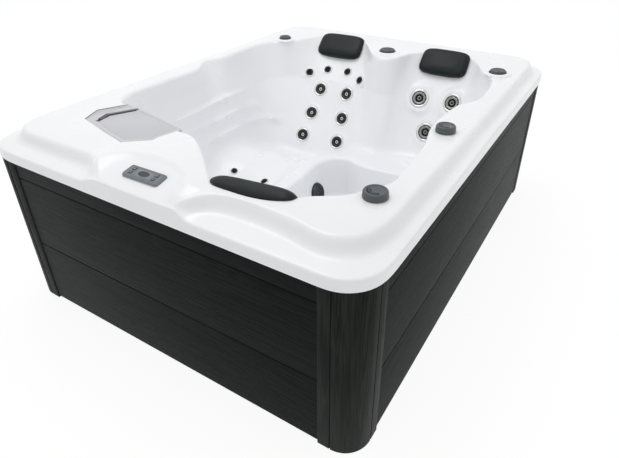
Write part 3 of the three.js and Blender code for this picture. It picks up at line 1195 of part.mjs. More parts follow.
const pumpInlet = pumpMiddle.clone().setX(pumpPlace.x - wetHalf - PUMP_PORT_LENGTH - pipeStart);
const suctionRun = SUCTION_RUN_SHARES.map((shares) => place(shares).setZ(SUCTION_RUN_HEIGHT));
suctionRun[0].setZ(pumpAxisHeight);
const canisterFoot = new THREE.Vector3(0, -CANISTER_SETBACK, CANISTER_BOTTOM_HEIGHT - pipeStart)
  .applyMatrix4(filter.matrix);
const drainRun = DRAIN_RUN_SHARES.map(place);
const drainMouth = drainRun[1].clone().setY(CLADDING.y);
const drainFrame = standing(TO_BACK, drainMouth);
const drainBore = holeFor(DRAIN_STEM_RADIUS);
const boardFace = BOARD_THICKNESS - POST_WALL;
const drainBody = solidOf(cylinder(
  drainBore + DRAIN_BODY_WALL, -POST_WALL - SEAT_GAP - DRAIN_BODY_LENGTH, -POST_WALL - SEAT_GAP, SOCKET_SIDES,
), drainFrame);
const drainHollow = solidOf(cylinder(
  drainBore, boardFace - DRAIN_STEM_LENGTH - CUT_OVERRUN, CUT_OVERRUN, SOCKET_SIDES,
), drainFrame);
const suction = joined([
  ...pipeRun([pumpInlet, ...suctionRun, suctionSocket.joint], PIPE_RADIUS),
  ...pipeRun([canisterFoot, canisterFoot.clone().setZ(SUCTION_RUN_HEIGHT), suctionRun[1]], PIPE_RADIUS),
  ...pipeRun([suctionRun[2], ...drainRun], HOSE_RADIUS),
  suctionSocket.body,
  drainBody,
]).subtract(suctionSocket.hollow).subtract(drainHollow);
addPiece(group, 'suction_plumbing', geometryOf(suction), 'pipe');
const drainCap = addPiece(group, 'drain_cap', turned([
  [0, -DRAIN_STEM_LENGTH], [DRAIN_STEM_RADIUS, -DRAIN_STEM_LENGTH], [DRAIN_STEM_RADIUS, 0],
  [DRAIN_CAP_RADIUS, 0], [DRAIN_CAP_RADIUS, DRAIN_CAP_HEIGHT], [0, DRAIN_CAP_HEIGHT],
], SMALL_SIDES), 'fitting');
drainCap.applyMatrix4(standing(TO_BACK, drainMouth.clone().addScaledVector(TO_BACK, boardFace + SEAT_GAP)));

// Cabinet: three boards a side between corner posts

const boardRows = [
  { name: 'lower', bottom: BOARD_BOTTOM, top: BOARD_LOWER_JOINT },
  { name: 'middle', bottom: BOARD_LOWER_JOINT, top: BOARD_UPPER_JOINT },
  { name: 'upper', bottom: BOARD_UPPER_JOINT, top: LIP_BOTTOM_HEIGHT + BOARD_INSIDE_LIP },
];
const sides = [
  { name: 'front', turn: 0, out: CLADDING.y, half: CLADDING.x },
  { name: 'right', turn: 1, out: CLADDING.x, half: CLADDING.y },
  { name: 'back', turn: 2, out: CLADDING.y, half: CLADDING.x },
  { name: 'left', turn: 3, out: CLADDING.x, half: CLADDING.y },
];

/** A board whose face looks along -Y: a plank with its outer long edges chamfered. */
function boardGeometry(length, height) {
  const shape = [
    [0, BOARD_CHAMFER], [BOARD_CHAMFER, 0], [BOARD_THICKNESS, 0], [BOARD_THICKNESS, height],
    [BOARD_CHAMFER, height], [0, height - BOARD_CHAMFER],
  ];
  const basis = new THREE.Matrix4().makeBasis(TO_BACK, UP, new THREE.Vector3(1, 0, 0));
  return prism(shape, -length / 2, length / 2).applyMatrix4(basis);
}

for (const side of sides) {
  const wall = new THREE.Group();
  wall.rotation.z = side.turn * Math.PI / 2;
  group.add(wall);
  const length = 2 * (side.half - POST_RADIUS - POST_STRIP - SEAT_GAP);
  for (const row of boardRows) {
    const height = row.top - row.bottom - SEAT_GAP;
    let geometry = boardGeometry(length, height);
    const at = new THREE.Vector3(0, -side.out + POST_WALL - BOARD_THICKNESS, row.bottom);
    if (side.name === 'back' && row.name === 'lower') {
      const hole = solidOf(
        cylinder(drainBore, -BOARD_THICKNESS - CUT_OVERRUN, BOARD_THICKNESS, SOCKET_SIDES),
        standing(TO_BACK.clone().negate(), new THREE.Vector3(-drainMouth.x, 0, drainMouth.z - row.bottom)),
      );
      geometry = geometryOf(solidOf(geometry).subtract(hole));
    }
    addPiece(wall, `board_${side.name}_${row.name}`, geometry, 'composite').position.copy(at);
  }
}

/** A corner post for the front right: a quarter round with a flat strip each side, grooved between. */
function postGeometry(height) {
  const out = POST_RADIUS;
  const inside = POST_RADIUS - POST_WALL;
  const arc = (radius, backwards) => Array.from({ length: POST_ARC_STEPS + 1 }, (_, step) => {
    const part = (backwards ? POST_ARC_STEPS - step : step) / POST_ARC_STEPS;
    const angle = (part - 1) * Math.PI / 2;
    return [radius * Math.cos(angle), radius * Math.sin(angle)];
  });
  const grooved = out - GROOVE_DEPTH;
  return prism([
    [-POST_STRIP, -out], [-GROOVE_WIDTH, -out], [-GROOVE_WIDTH, -grooved], [0, -grooved],
    ...arc(out, false),
    [grooved, 0], [grooved, GROOVE_WIDTH], [out, GROOVE_WIDTH], [out, POST_STRIP], [inside, POST_STRIP],
    ...arc(inside, true),
    [-POST_STRIP, -inside],
  ], 0, height);
}

const posts = [
  { name: 'front_right', x: 1, y: -1, turn: 0 },
  { name: 'back_right', x: 1, y: 1, turn: 1 },
  { name: 'back_left', x: -1, y: 1, turn: 2 },
  { name: 'front_left', x: -1, y: -1, turn: 3 },
];
const postForm = postGeometry(LIP_BOTTOM_HEIGHT - POST_TOP_GAP);
for (const post of posts) {
  const mesh = addPiece(group, `corner_post_${post.name}`, postForm, 'composite');
  mesh.position.set(post.x * (CLADDING.x - POST_RADIUS), post.y * (CLADDING.y - POST_RADIUS), 0);
  mesh.rotation.z = post.turn * Math.PI / 2;
}

// Base tray and timber frame: both have their corners cut off inside the posts

/** The outline of a ring of the frame, a distance inside its outer face. */
function cutCorners(inset) {
  const x = FRAME_OUTER.x - inset;
  const y = FRAME_OUTER.y - inset;
  const cut = POST_RADIUS - inset / 2;
  return [
    [x, -y + cut], [x, y - cut], [x - cut, y], [-x + cut, y],
    [-x, y - cut], [-x, -y + cut], [-x + cut, -y], [x - cut, -y],
  ];
}

const floorRoom = rings.crestFront.points.map((point) => [
  FOOTWELL_CENTRE.x + (point.x - FOOTWELL_CENTRE.x) * PLINTH_SHARE,
  FOOTWELL_CENTRE.y + (point.y - FOOTWELL_CENTRE.y) * PLINTH_SHARE,
]);
const plinthX = floorRoom.map(([x]) => x);
const plinthY = floorRoom.map(([, y]) => y);
const plinthLow = [Math.min(...plinthX) + FLOOR_RADIUS, Math.min(...plinthY) + FLOOR_RADIUS];
const plinthHigh = [Math.max(...plinthX) - FLOOR_RADIUS, Math.max(...plinthY) - FLOOR_RADIUS];
addPiece(group, 'base_tray', geometryOf(joined([
  solidOf(prism(cutCorners(0), 0, TRAY_HEIGHT)),
  solidOf(block(
    (plinthLow[0] + plinthHigh[0]) / 2, (plinthLow[1] + plinthHigh[1]) / 2,
    plinthHigh[0] - plinthLow[0], plinthHigh[1] - plinthLow[1],
    TRAY_HEIGHT / 2, FLOOR_HEIGHT - SHELL_WALL - SEAT_GAP,
  )),
])), 'tray');

/** A ring rail between two heights. */
function railSolid(bottom, top) {
  const inside = solidOf(prism(cutCorners(FRAME_DEPTH), bottom - CUT_OVERRUN, top + CUT_OVERRUN));
  return solidOf(prism(cutCorners(0), bottom, top)).subtract(inside);
}

/** The lowest height of the shell's underside over the top rail. */
function railRoom() {
  const heights = [0, FRAME_DEPTH / 2, FRAME_DEPTH].flatMap((inset) => {
    const outline = cutCorners(inset).map(([x, y]) => new THREE.Vector3(x, y, LIP_BOTTOM_HEIGHT));
    return outline.flatMap((corner, index) => {
      const next = outline[(index + 1) % outline.length];
      const parts = Array.from({ length: RAIL_LOOKS }, (_, step) => step / RAIL_LOOKS);
      return parts.map((part) => meetShell(corner.clone().lerp(next, part), UP).point.z);
    });
  });
  return Math.min(...heights);
}

const railTop = railRoom() - SEAT_GAP;
const frameBottom = TRAY_HEIGHT + SEAT_GAP;
const studMiddle = FRAME_OUTER.clone().subScalar(FRAME_DEPTH / 2);
const studEnd = FRAME_OUTER.clone().subScalar(POST_RADIUS + STUD_WIDTH / 2);
const studPlaces = [];
for (const side of [-1, 1]) {
  for (const end of [-1, 1]) {
    for (const spread of [STUD_SPREAD_SHARE, 1]) {
      studPlaces.push([end * spread * studEnd.x, side * studMiddle.y, STUD_WIDTH, FRAME_DEPTH]);
      studPlaces.push([side * studMiddle.x, end * spread * studEnd.y, FRAME_DEPTH, STUD_WIDTH]);
    }
  }
}
const studs = studPlaces.map(([x, y, width, length]) => (
  solidOf(block(x, y, width, length, frameBottom + RAIL_HEIGHT / 2, railTop - RAIL_HEIGHT / 2))
));
const rails = [railSolid(frameBottom, frameBottom + RAIL_HEIGHT), railSolid(railTop - RAIL_HEIGHT, railTop)];
addPiece(group, 'support_frame', geometryOf(joined([...rails, ...studs])), 'timber');

export default group;
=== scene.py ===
"""Dresses the acrylic hot tub: its shell, fittings, pillows, cabinet, and the studio round it."""

from __future__ import annotations

import json
import logging
import math
from collections.abc import Iterator, Sequence
from contextlib import contextmanager
from dataclasses import dataclass
from enum import Enum

import bpy
import numpy as np
from mathutils import Matrix, Vector

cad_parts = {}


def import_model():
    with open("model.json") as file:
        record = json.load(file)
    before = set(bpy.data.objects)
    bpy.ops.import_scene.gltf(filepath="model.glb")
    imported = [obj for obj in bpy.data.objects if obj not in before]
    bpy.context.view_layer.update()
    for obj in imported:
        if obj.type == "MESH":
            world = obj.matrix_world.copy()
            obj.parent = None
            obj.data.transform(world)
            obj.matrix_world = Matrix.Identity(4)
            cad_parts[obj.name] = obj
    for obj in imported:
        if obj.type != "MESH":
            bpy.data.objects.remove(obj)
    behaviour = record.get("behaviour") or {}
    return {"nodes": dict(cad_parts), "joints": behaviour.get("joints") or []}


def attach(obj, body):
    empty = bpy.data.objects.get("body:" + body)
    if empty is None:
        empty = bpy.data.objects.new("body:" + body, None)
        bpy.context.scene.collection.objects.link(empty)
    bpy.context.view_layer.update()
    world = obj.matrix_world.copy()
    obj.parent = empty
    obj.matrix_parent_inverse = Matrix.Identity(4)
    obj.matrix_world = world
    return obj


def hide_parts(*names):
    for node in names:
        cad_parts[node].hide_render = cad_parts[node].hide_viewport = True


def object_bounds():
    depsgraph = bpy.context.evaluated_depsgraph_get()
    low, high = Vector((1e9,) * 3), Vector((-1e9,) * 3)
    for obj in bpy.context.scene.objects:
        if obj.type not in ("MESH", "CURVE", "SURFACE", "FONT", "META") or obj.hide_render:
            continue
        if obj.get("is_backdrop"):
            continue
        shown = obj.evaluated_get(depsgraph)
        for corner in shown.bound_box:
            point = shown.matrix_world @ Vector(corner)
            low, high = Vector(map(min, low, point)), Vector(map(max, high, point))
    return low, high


LOG = logging.getLogger("hot_tub")
UP = Vector((0.0, 0.0, 1.0))
TO_BACK = Vector((0.0, 1.0, 0.0))
QUARTER = math.pi / 2
# How near two corners of a form lie when they are one corner.
WELD = 1e-5
WELD_TURNED = 1e-6
# How far two faces of a form may turn from each other when they are one face.
FLAT_DEGREES = 2.0

Point = tuple[float, float]
Place = tuple[float, float, float]
Piece = bpy.types.Object
Material = bpy.types.Material
Socket = bpy.types.NodeSocket

# The shell's rings, as in the part's source. A row is a share of the half width, a share of the
# half length, and, where the ring isn't level, how far it has gone from its low height to its
# high one.
RIM_SHARES = (
    (-0.332, -0.921, 1), (-0.27, -0.938, 0.95), (-0.228, -0.964, 0.6), (-0.203, -0.985, 0.1),
    (-0.12, -0.988, 0), (0.12, -0.988, 0), (0.203, -0.985, 0.1), (0.234, -0.962, 0.6),
    (0.271, -0.925, 0.95), (0.332, -0.899, 1), (0.45, -0.888, 1), (0.62, -0.894, 1),
    (0.745, -0.912, 1), (0.801, -0.911, 1), (0.842, -0.896, 1), (0.889, -0.87, 1),
    (0.911, -0.827, 1), (0.926, -0.768, 1), (0.928, -0.6, 1), (0.928, 0, 1), (0.928, 0.7, 1),
    (0.927, 0.81, 1), (0.912, 0.875, 1), (0.868, 0.914, 1), (0.79, 0.931, 1), (0.6, 0.933, 1),
    (0, 0.934, 1), (-0.62, 0.933, 1), (-0.79, 0.93, 1), (-0.865, 0.913, 1), (-0.905, 0.875, 1),
    (-0.913, 0.81, 1), (-0.914, 0.6, 1), (-0.914, 0, 1), (-0.914, -0.74, 1), (-0.908, -0.83, 1),
    (-0.886, -0.88, 1), (-0.84, -0.912, 1), (-0.76, -0.921, 1), (-0.55, -0.921, 1),
)
EDGE_SHARES = (
    (-0.193, -0.634), (-0.139, -0.633), (-0.059, -0.664), (0.025, -0.715), (0.114, -0.772),
    (0.197, -0.83), (0.252, -0.86), (0.345, -0.869), (0.433, -0.867), (0.511, -0.85),
    (0.56, -0.821), (0.597, -0.779), (0.64, -0.754), (0.688, -0.73), (0.738, -0.693),
    (0.788, -0.633), (0.821, -0.571), (0.817, -0.499), (0.805, -0.357), (0.795, -0.278),
    (0.753, -0.143), (0.746, -0.057), (0.75, 0.018), (0.764, 0.119), (0.8, 0.166), (0.83, 0.216),
    (0.831, 0.314), (0.822, 0.412), (0.794, 0.519), (0.687, 0.632), (0.642, 0.705), (0.578, 0.762),
    (0.431, 0.776), (0.283, 0.762), (0.203, 0.71), (0.172, 0.636), (0.149, 0.58), (0.105, 0.55),
    (0.055, 0.55), (-0.03, 0.601), (-0.121, 0.694), (-0.185, 0.762), (-0.345, 0.786),
    (-0.505, 0.771), (-0.591, 0.724), (-0.625, 0.648), (-0.689, 0.576), (-0.788, 0.519),
    (-0.822, 0.419), (-0.827, 0.286), (-0.818, 0.143), (-0.849, 0.1), (-0.854, 0.033),
    (-0.78, -0.057), (-0.783, -0.19), (-0.785, -0.297), (-0.788, -0.457), (-0.738, -0.538),
    (-0.662, -0.555), (-0.564, -0.569), (-0.369, -0.598),
)
WALL_SHARES = (
    (-0.193, -0.617), (-0.139, -0.612), (-0.049, -0.64), (0.043, -0.688), (0.135, -0.738),
    (0.222, -0.762), (0.345, -0.77), (0.455, -0.762), (0.554, -0.738), (0.628, -0.71),
    (0.695, -0.671), (0.751, -0.614), (0.785, -0.552), (0.788, -0.476), (0.778, -0.352),
    (0.766, -0.267), (0.729, -0.143), (0.722, -0.048), (0.726, 0.019), (0.741, 0.114),
    (0.773, 0.181), (0.794, 0.286), (0.788, 0.4), (0.753, 0.505), (0.665, 0.586), (0.554, 0.608),
    (0.406, 0.614), (0.271, 0.605), (0.191, 0.576), (0.148, 0.541), (0.105, 0.527), (0.055, 0.529),
    (-0.012, 0.557), (-0.074, 0.592), (-0.172, 0.6), (-0.32, 0.602), (-0.48, 0.595),
    (-0.591, 0.571), (-0.683, 0.514), (-0.745, 0.429), (-0.769, 0.286), (-0.766, 0.095),
    (-0.757, -0.095), (-0.758, -0.286), (-0.757, -0.429), (-0.714, -0.514), (-0.615, -0.548),
    (-0.431, -0.576),
)
FOOT_SHARES = (
    (-0.554, -0.476, 0), (-0.369, -0.519, 0), (-0.197, -0.548, 0.02), (-0.086, -0.557, 0.2),
    (0.025, -0.586, 0.6), (0.123, -0.614, 0.78), (0.222, -0.63, 0.78), (0.345, -0.636, 0.78),
    (0.468, -0.629, 0.78), (0.566, -0.605, 0.78), (0.652, -0.552, 0.78), (0.708, -0.476, 0.78),
    (0.726, -0.362, 0.78), (0.72, -0.257, 0.78), (0.695, -0.133, 0.78), (0.689, 0, 0.78),
    (0.704, 0.124, 0.78), (0.732, 0.238, 0.78), (0.738, 0.352, 0.78), (0.702, 0.433, 0.78),
    (0.615, 0.481, 0.78), (0.492, 0.495, 0.78), (0.369, 0.493, 0.78), (0.258, 0.476, 0.78),
    (0.185, 0.448, 0.79), (0.123, 0.424, 0.81), (0.062, 0.419, 0.83), (0, 0.419, 0.77),
    (-0.074, 0.41, 0.54), (-0.148, 0.386, 0.31), (-0.271, 0.376, 0.23), (-0.418, 0.371, 0.23),
    (-0.542, 0.352, 0.25), (-0.628, 0.3, 0.31), (-0.677, 0.21, 0.54), (-0.689, 0.114, 0.9),
    (-0.692, 0.019, 1), (-0.689, -0.076, 0.9), (-0.683, -0.171, 0.47), (-0.677, -0.267, 0.08),
    (-0.665, -0.362, 0), (-0.628, -0.438, 0),
)
PAN_SHARES = (
    (-0.222, -0.433, 0.03), (-0.123, -0.438, 0.18), (-0.025, -0.457, 0.44), (0.074, -0.486, 0.63),
    (0.185, -0.51, 0.67), (0.308, -0.524, 0.67), (0.431, -0.524, 0.67), (0.554, -0.505, 0.68),
    (0.64, -0.438, 0.71), (0.677, -0.343, 0.73), (0.674, -0.238, 0.75), (0.658, -0.114, 0.75),
    (0.655, 0, 0.75), (0.665, 0.114, 0.75), (0.671, 0.229, 0.75), (0.64, 0.314, 0.72),
    (0.566, 0.362, 0.69), (0.468, 0.376, 0.68), (0.345, 0.376, 0.68), (0.209, 0.362, 0.71),
    (0.123, 0.343, 0.78), (0.049, 0.338, 0.82), (-0.025, 0.329, 0.71), (-0.086, 0.31, 0.44),
    (-0.16, 0.295, 0.25), (-0.271, 0.29, 0.2), (-0.382, 0.276, 0.25), (-0.468, 0.229, 0.47),
    (-0.505, 0.162, 0.73), (-0.517, 0.086, 0.8), (-0.517, 0, 0.72), (-0.517, -0.086, 0.5),
    (-0.517, -0.171, 0.22), (-0.517, -0.267, 0.03), (-0.468, -0.362, 0), (-0.332, -0.429, 0),
)
PAN_FRONT_SHARES = (
    (-0.234, -0.095, 0.52), (-0.234, -0.19, 0.2), (-0.234, -0.286, 0.02), (-0.185, -0.352, 0.02),
    (-0.098, -0.39, 0.13), (0, -0.41, 0.4), (0.098, -0.419, 0.66), (0.246, -0.424, 0.74),
    (0.406, -0.424, 0.74), (0.529, -0.41, 0.75), (0.615, -0.362, 0.77), (0.646, -0.267, 0.78),
    (0.634, -0.124, 0.78), (0.63, 0, 0.78), (0.63, 0.114, 0.78), (0.622, 0.21, 0.79),
    (0.554, 0.286, 0.78), (0.443, 0.295, 0.77), (0.32, 0.29, 0.77), (0.209, 0.286, 0.79),
    (0.123, 0.29, 0.84), (0.049, 0.305, 0.87), (-0.037, 0.295, 0.84), (-0.111, 0.262, 0.65),
    (-0.185, 0.233, 0.46), (-0.246, 0.19, 0.54), (-0.252, 0.114, 0.79), (-0.246, 0.029, 0.74),
)
CREST_BACK_SHARES = (
    (-0.172, 0.095), (-0.16, 0), (-0.16, -0.095), (-0.16, -0.19), (-0.148, -0.276),
    (-0.098, -0.333), (-0.012, -0.367), (0.098, -0.381), (0.246, -0.386), (0.406, -0.386),
    (0.529, -0.371), (0.609, -0.324), (0.634, -0.238), (0.622, -0.124), (0.618, 0), (0.615, 0.114),
    (0.601, 0.2), (0.542, 0.255), (0.431, 0.264), (0.308, 0.255), (0.197, 0.252), (0.111, 0.262),
    (0.037, 0.281), (-0.037, 0.27), (-0.098, 0.238), (-0.148, 0.195), (-0.172, 0.148),
)
CREST_FRONT_SHARES = (
    (-0.092, 0.095), (-0.08, 0), (-0.08, -0.095), (-0.08, -0.19), (-0.068, -0.262),
    (-0.025, -0.305), (0.049, -0.329), (0.148, -0.343), (0.246, -0.348), (0.406, -0.348),
    (0.505, -0.333), (0.566, -0.286), (0.585, -0.21), (0.585, -0.124), (0.585, 0), (0.582, 0.114),
    (0.566, 0.181), (0.517, 0.233), (0.418, 0.243), (0.308, 0.233), (0.209, 0.23), (0.123, 0.238),
    (0.043, 0.257), (-0.025, 0.243), (-0.068, 0.21), (-0.09, 0.167),
)
# The corners of the shell's section, from the lip in: the radius of each one's fillet in metres,
# the fillet's steps, and the rows that divide the way to the next corner.
FILLETS = {
    "lip_bottom": (0.0, 0, 3), "lip_top": (0.011, 4, 2), "cove": (0.040, 5, 1),
    "rim": (0.028, 6, 8), "deck": (0.0, 0, 8), "edge": (0.022, 7, 14), "wall": (0.1, 9, 16),
    "foot": (0.085, 9, 3), "pan": (0.06, 4, 3), "pan_front": (0.036, 6, 2),
    "crest_back": (0.018, 3, 1), "crest_front": (0.022, 5, 6), "floor": (0.036, 6, 7),
    "middle": (0.0, 0, 0),
}


class Value:
    """A number on its way through a material's nodes."""

    def __init__(self, recipe: Recipe, socket: Socket) -> None:
        """Keeps the socket and the recipe that new nodes go into."""
        self.recipe = recipe
        self.socket = socket

    def _with(self, operation: str, other: Value | float) -> Value:
        """Adds one Math node.

        Args:
            operation: The Math node's operation.
            other: What goes into the socket after this value's.

        Returns:
            The node's result.
        """
        inputs = {0: self, 1: other}
        return self.recipe.value("ShaderNodeMath", {"operation": operation}, inputs)

    def __add__(self, other: Value | float) -> Value:
        """This value plus another."""
        return self._with("ADD", other)

    def __sub__(self, other: Value | float) -> Value:
        """This value less another."""
        return self._with("SUBTRACT", other)

    def __mul__(self, other: Value | float) -> Value:
        """This value times another."""
        return self._with("MULTIPLY", other)

    __radd__ = __add__
    __rmul__ = __mul__

    def between(self, low: float, high: float) -> Value:
        """How far this value has gone from low to high, from 0 to 1, with soft ends."""
        settings = {"interpolation_type": "SMOOTHSTEP"}
        return self.recipe.value("ShaderNodeMapRange", settings, {"Value": self, 1: low, 2: high})


class Recipe:
    """One material's nodes."""

    def __init__(self, name: str) -> None:
        """Starts an empty material with an output and a principled shader."""
        self.material = bpy.data.materials.new(name)
        self.material.use_nodes = True
        self.tree = self.material.node_tree
        self.tree.nodes.clear()
        self.output = self.node("ShaderNodeOutputMaterial")
        self.shader = self.node("ShaderNodeBsdfPrincipled")
        self.tree.links.new(self.shader.outputs[0], self.output.inputs["Surface"])

    def node(
        self, kind: str, settings: dict[str, object] | None = None,
        inputs: dict[str | int, object] | None = None,
    ) -> bpy.types.Node:
        """Adds a node.

        Args:
            kind: The node's type.
            settings: Its settings, which are set first.
            inputs: Values or links of its sockets, by name or number.

        Returns:
            The node.
        """
        node = self.tree.nodes.new(kind)
        for key, setting in (settings or {}).items():
            setattr(node, key, setting)
        for key, given in (inputs or {}).items():
            self.feed(node.inputs[key], given)
        return node

    def feed(self, socket: Socket, given: object) -> None:
        """Links a socket to a value, or sets it to a number or colour."""
        if isinstance(given, Value):
            given = given.socket
        if isinstance(given, Socket):
            self.tree.links.new(given, socket)
        elif isinstance(given, tuple) and len(given) == 3 and socket.type == "RGBA":
            socket.default_value = (*given, 1.0)
        else:
            socket.default_value = given

    def value(
        self, kind: str, settings: dict[str, object] | None = None,
        inputs: dict[str | int, object] | None = None, output: str | int = 0,
    ) -> Value:
        """Adds a node and takes one of its outputs as a value."""
        return Value(self, self.node(kind, settings, inputs).outputs[output])

    def place(
        self, scale: Sequence[float] = (1, 1, 1), shift: Sequence[float] = (0, 0, 0),
    ) -> Value:
        """The object's own coordinates in metres, stretched and shifted."""
        object_space = self.value("ShaderNodeTexCoord", output="Object")
        inputs = {"Vector": object_space, "Scale": tuple(scale), "Location": tuple(shift)}
        return self.value("ShaderNodeMapping", None, inputs)

    def noise(self, where: Value, scale: float, detail: float, distortion: float = 0.0) -> Value:
        """Noise from 0 to 1 over a place."""
        inputs = {"Vector": where, "Scale": scale, "Detail": detail, "Distortion": distortion}
        return self.value("ShaderNodeTexNoise", None, inputs)

    def mixed(self, part: Value | float, first: object, second: object) -> Value:
        """A colour between two colours."""
        inputs = {0: part, 6: first, 7: second}
        return self.value("ShaderNodeMix", {"data_type": "RGBA"}, inputs, 2)

    def bump(self, height: Value, distance: float, strength: float = 1.0) -> Value:
        """A normal raised by a height from 0 to 1 over a distance in metres."""
        inputs = {"Height": height, "Distance": distance, "Strength": strength}
        return self.value("ShaderNodeBump", None, inputs)

    def finish(self, **sockets: object) -> Material:
        """Sets the shader's sockets and gives the material."""
        for name, given in sockets.items():
            self.feed(self.shader.inputs[name.replace("_", " ")], given)
        return self.material


def linear(colour: str) -> tuple[float, float, float]:
    """A colour's linear values.

    Args:
        colour: Six hexadecimal digits, as a screen shows the colour.

    Returns:
        Red, green and blue, as a shader takes them.
    """
    parts = [int(colour[at:at + 2], 16) / 255 for at in (0, 2, 4)]
    return tuple(
        part / 12.92 if part <= 0.04045 else ((part + 0.055) / 1.055) ** 2.4 for part in parts
    )


def shaded(colour: tuple[float, float, float], amount: float) -> tuple[float, float, float]:
    """A colour made lighter or darker by a share."""
    return tuple(min(1.0, part * (1 + amount)) for part in colour)


@dataclass(frozen=True)
class Moulding:
    """A moulded or cast finish: a colour with slow drift, and a fine grain in its gloss."""

    name: str
    colour: str
    roughness: float
    drift: float = 0.05
    drift_scale: float = 14.0
    grain_scale: float = 1400.0
    grain_depth: float = 0.00003
    metallic: float = 0.0
    coat: float = 0.0
    coat_roughness: float = 0.06
    gloss_least: float = 0.85
    gloss_span: float = 0.3
    gloss_finer: float = 3.0

    def material(self) -> Material:
        """Builds the material."""
        recipe = Recipe(self.name)
        where = recipe.place()
        slow = recipe.noise(where, self.drift_scale, 4)
        fine = recipe.noise(where, self.grain_scale, 2)
        base = linear(self.colour)
        gloss = recipe.noise(where, self.drift_scale * self.gloss_finer, 3)
        return recipe.finish(
            Base_Color=recipe.mixed(slow, shaded(base, -self.drift), shaded(base, self.drift)),
            Roughness=self.roughness * (self.gloss_least + self.gloss_span * gloss),
            Metallic=self.metallic,
            Coat_Weight=self.coat,
            Coat_Roughness=self.coat_roughness,
            Normal=recipe.bump(fine, self.grain_depth),
        )


@dataclass(frozen=True)
class Acrylic:
    """The shell's polished sheet: nearly white, with a slow pearl drift and a fine ripple."""

    name: str = "acrylic_sheet"
    colour: str = "fbfcfe"
    deep: str = "f5f6f9"
    roughness: float = 0.32
    cloud_scale: float = 3.5
    cloud_ends: Point = (0.25, 0.8)
    cloud_share: float = 0.6
    fleck_scale: float = 160.0
    fleck_ends: Point = (0.35, 0.75)
    fleck_share: float = 0.25
    gloss_least: float = 0.8
    gloss_span: float = 0.4
    refraction: float = 1.49
    coat: float = 0.15
    coat_roughness: float = 0.12
    ripple_scale: float = 26.0
    ripple_depth: float = 0.0005
    ripple_strength: float = 0.5

    def material(self) -> Material:
        """Builds the material."""
        recipe = Recipe(self.name)
        where = recipe.place()
        cloud = recipe.noise(where, self.cloud_scale, 6, 0.8).between(*self.cloud_ends)
        fleck = recipe.noise(where, self.fleck_scale, 5).between(*self.fleck_ends)
        tone = cloud * self.cloud_share + fleck * self.fleck_share
        ripple = recipe.noise(where, self.ripple_scale, 2)
        return recipe.finish(
            Base_Color=recipe.mixed(tone, linear(self.colour), linear(self.deep)),
            Roughness=self.roughness * (self.gloss_least + self.gloss_span * cloud),
            IOR=self.refraction,
            Coat_Weight=self.coat,
            Coat_Roughness=self.coat_roughness,
            Normal=recipe.bump(ripple, self.ripple_depth, self.ripple_strength),
        )


class Grain(Enum):
    """The way a board's grain runs: stretch of the pattern along X, Y and Z."""

    ACROSS = (0.9, 26.0, 26.0)
    ALONG = (26.0, 0.9, 26.0)
    UPRIGHT = (22.0, 22.0, 0.9)


@dataclass(frozen=True)
class Woodgrain:
    """A board pressed with wood grain: long fibres, darker pores and slow bands."""

    name: str
    grain: Grain
    light: str = "191d1b"
    dark: str = "0c100f"
    seed: float = 0.0
    depth: float = 0.0009
    roughness: float = 0.5
    shine: float = 0.06
    shift_shares: Place = (1.0, 1.7, 0.6)
    slow_scale: float = 1.3
    fibre_scale: float = 5.0
    pore_scale: float = 17.0
    pore_ends: Point = (0.5, 0.72)
    pore_share: float = 0.45
    ring_count: float = 46.0
    tone_ends: Point = (0.28, 0.72)
    relief: float = 0.7
    gloss_least: float = 0.85
    gloss_span: float = 0.35

    def material(self) -> Material:
        """Builds the material."""
        recipe = Recipe(self.name)
        shift = [self.seed * share for share in self.shift_shares]
        where = recipe.place(self.grain.value, shift)
        wide = recipe.place([part ** 0.5 for part in self.grain.value], shift)
        slow = recipe.noise(wide, self.slow_scale, 3, 0.6)
        fibre = recipe.noise(where, self.fibre_scale, 7, 0.35)
        pore = recipe.noise(where, self.pore_scale, 3, 0.1).between(*self.pore_ends)
        turns = recipe.noise(where, 1.0, 2, 1.6) * self.ring_count
        rings = recipe.value("ShaderNodeMath", {"operation": "SINE"}, {0: turns}) * 0.5 + 0.5
        tone = fibre * 0.5 + rings * 0.25 + slow * 0.25
        light, dark = linear(self.light), linear(self.dark)
        colour = recipe.mixed(tone.between(*self.tone_ends), dark, light)
        colour = recipe.mixed(pore * self.pore_share, colour, shaded(dark, -0.45))
        height = fibre * 0.4 + rings * 0.4 - pore * 0.5
        return recipe.finish(
            Base_Color=colour,
            Roughness=self.roughness * (self.gloss_least + self.gloss_span * fibre),
            Specular_IOR_Level=self.shine,
            Normal=recipe.bump(height, self.depth, self.relief),
        )


@dataclass(frozen=True)
class FoamSkin:
    """The pillows' skinned foam: charcoal with a fine pebble and a soft sheen."""

    name: str = "pillow_skin"
    colour: str = "0a1314"
    roughness: float = 0.42
    shine: float = 0.26
    pebble_scale: float = 420.0
    pebble_edge: float = 0.22
    worn_scale: float = 9.0
    worn_ends: Point = (0.35, 0.7)
    depth: float = 0.00025
    relief: float = 0.6

    def material(self) -> Material:
        """Builds the material."""
        recipe = Recipe(self.name)
        where = recipe.place()
        base = linear(self.colour)
        inputs = {"Vector": where, "Scale": self.pebble_scale}
        pebble = recipe.value("ShaderNodeTexVoronoi", {"feature": "DISTANCE_TO_EDGE"}, inputs)
        pebble = pebble.between(0.0, self.pebble_edge)
        worn = recipe.noise(where, self.worn_scale, 5).between(*self.worn_ends)
        tone = worn * 0.5 + pebble * 0.2
        return recipe.finish(
            Base_Color=recipe.mixed(tone, shaded(base, -0.15), shaded(base, 0.3)),
            Roughness=self.roughness * (0.85 + 0.3 * worn),
            Specular_IOR_Level=self.shine,
            Normal=recipe.bump(pebble * 0.7 + worn * 0.3, self.depth, self.relief),
        )


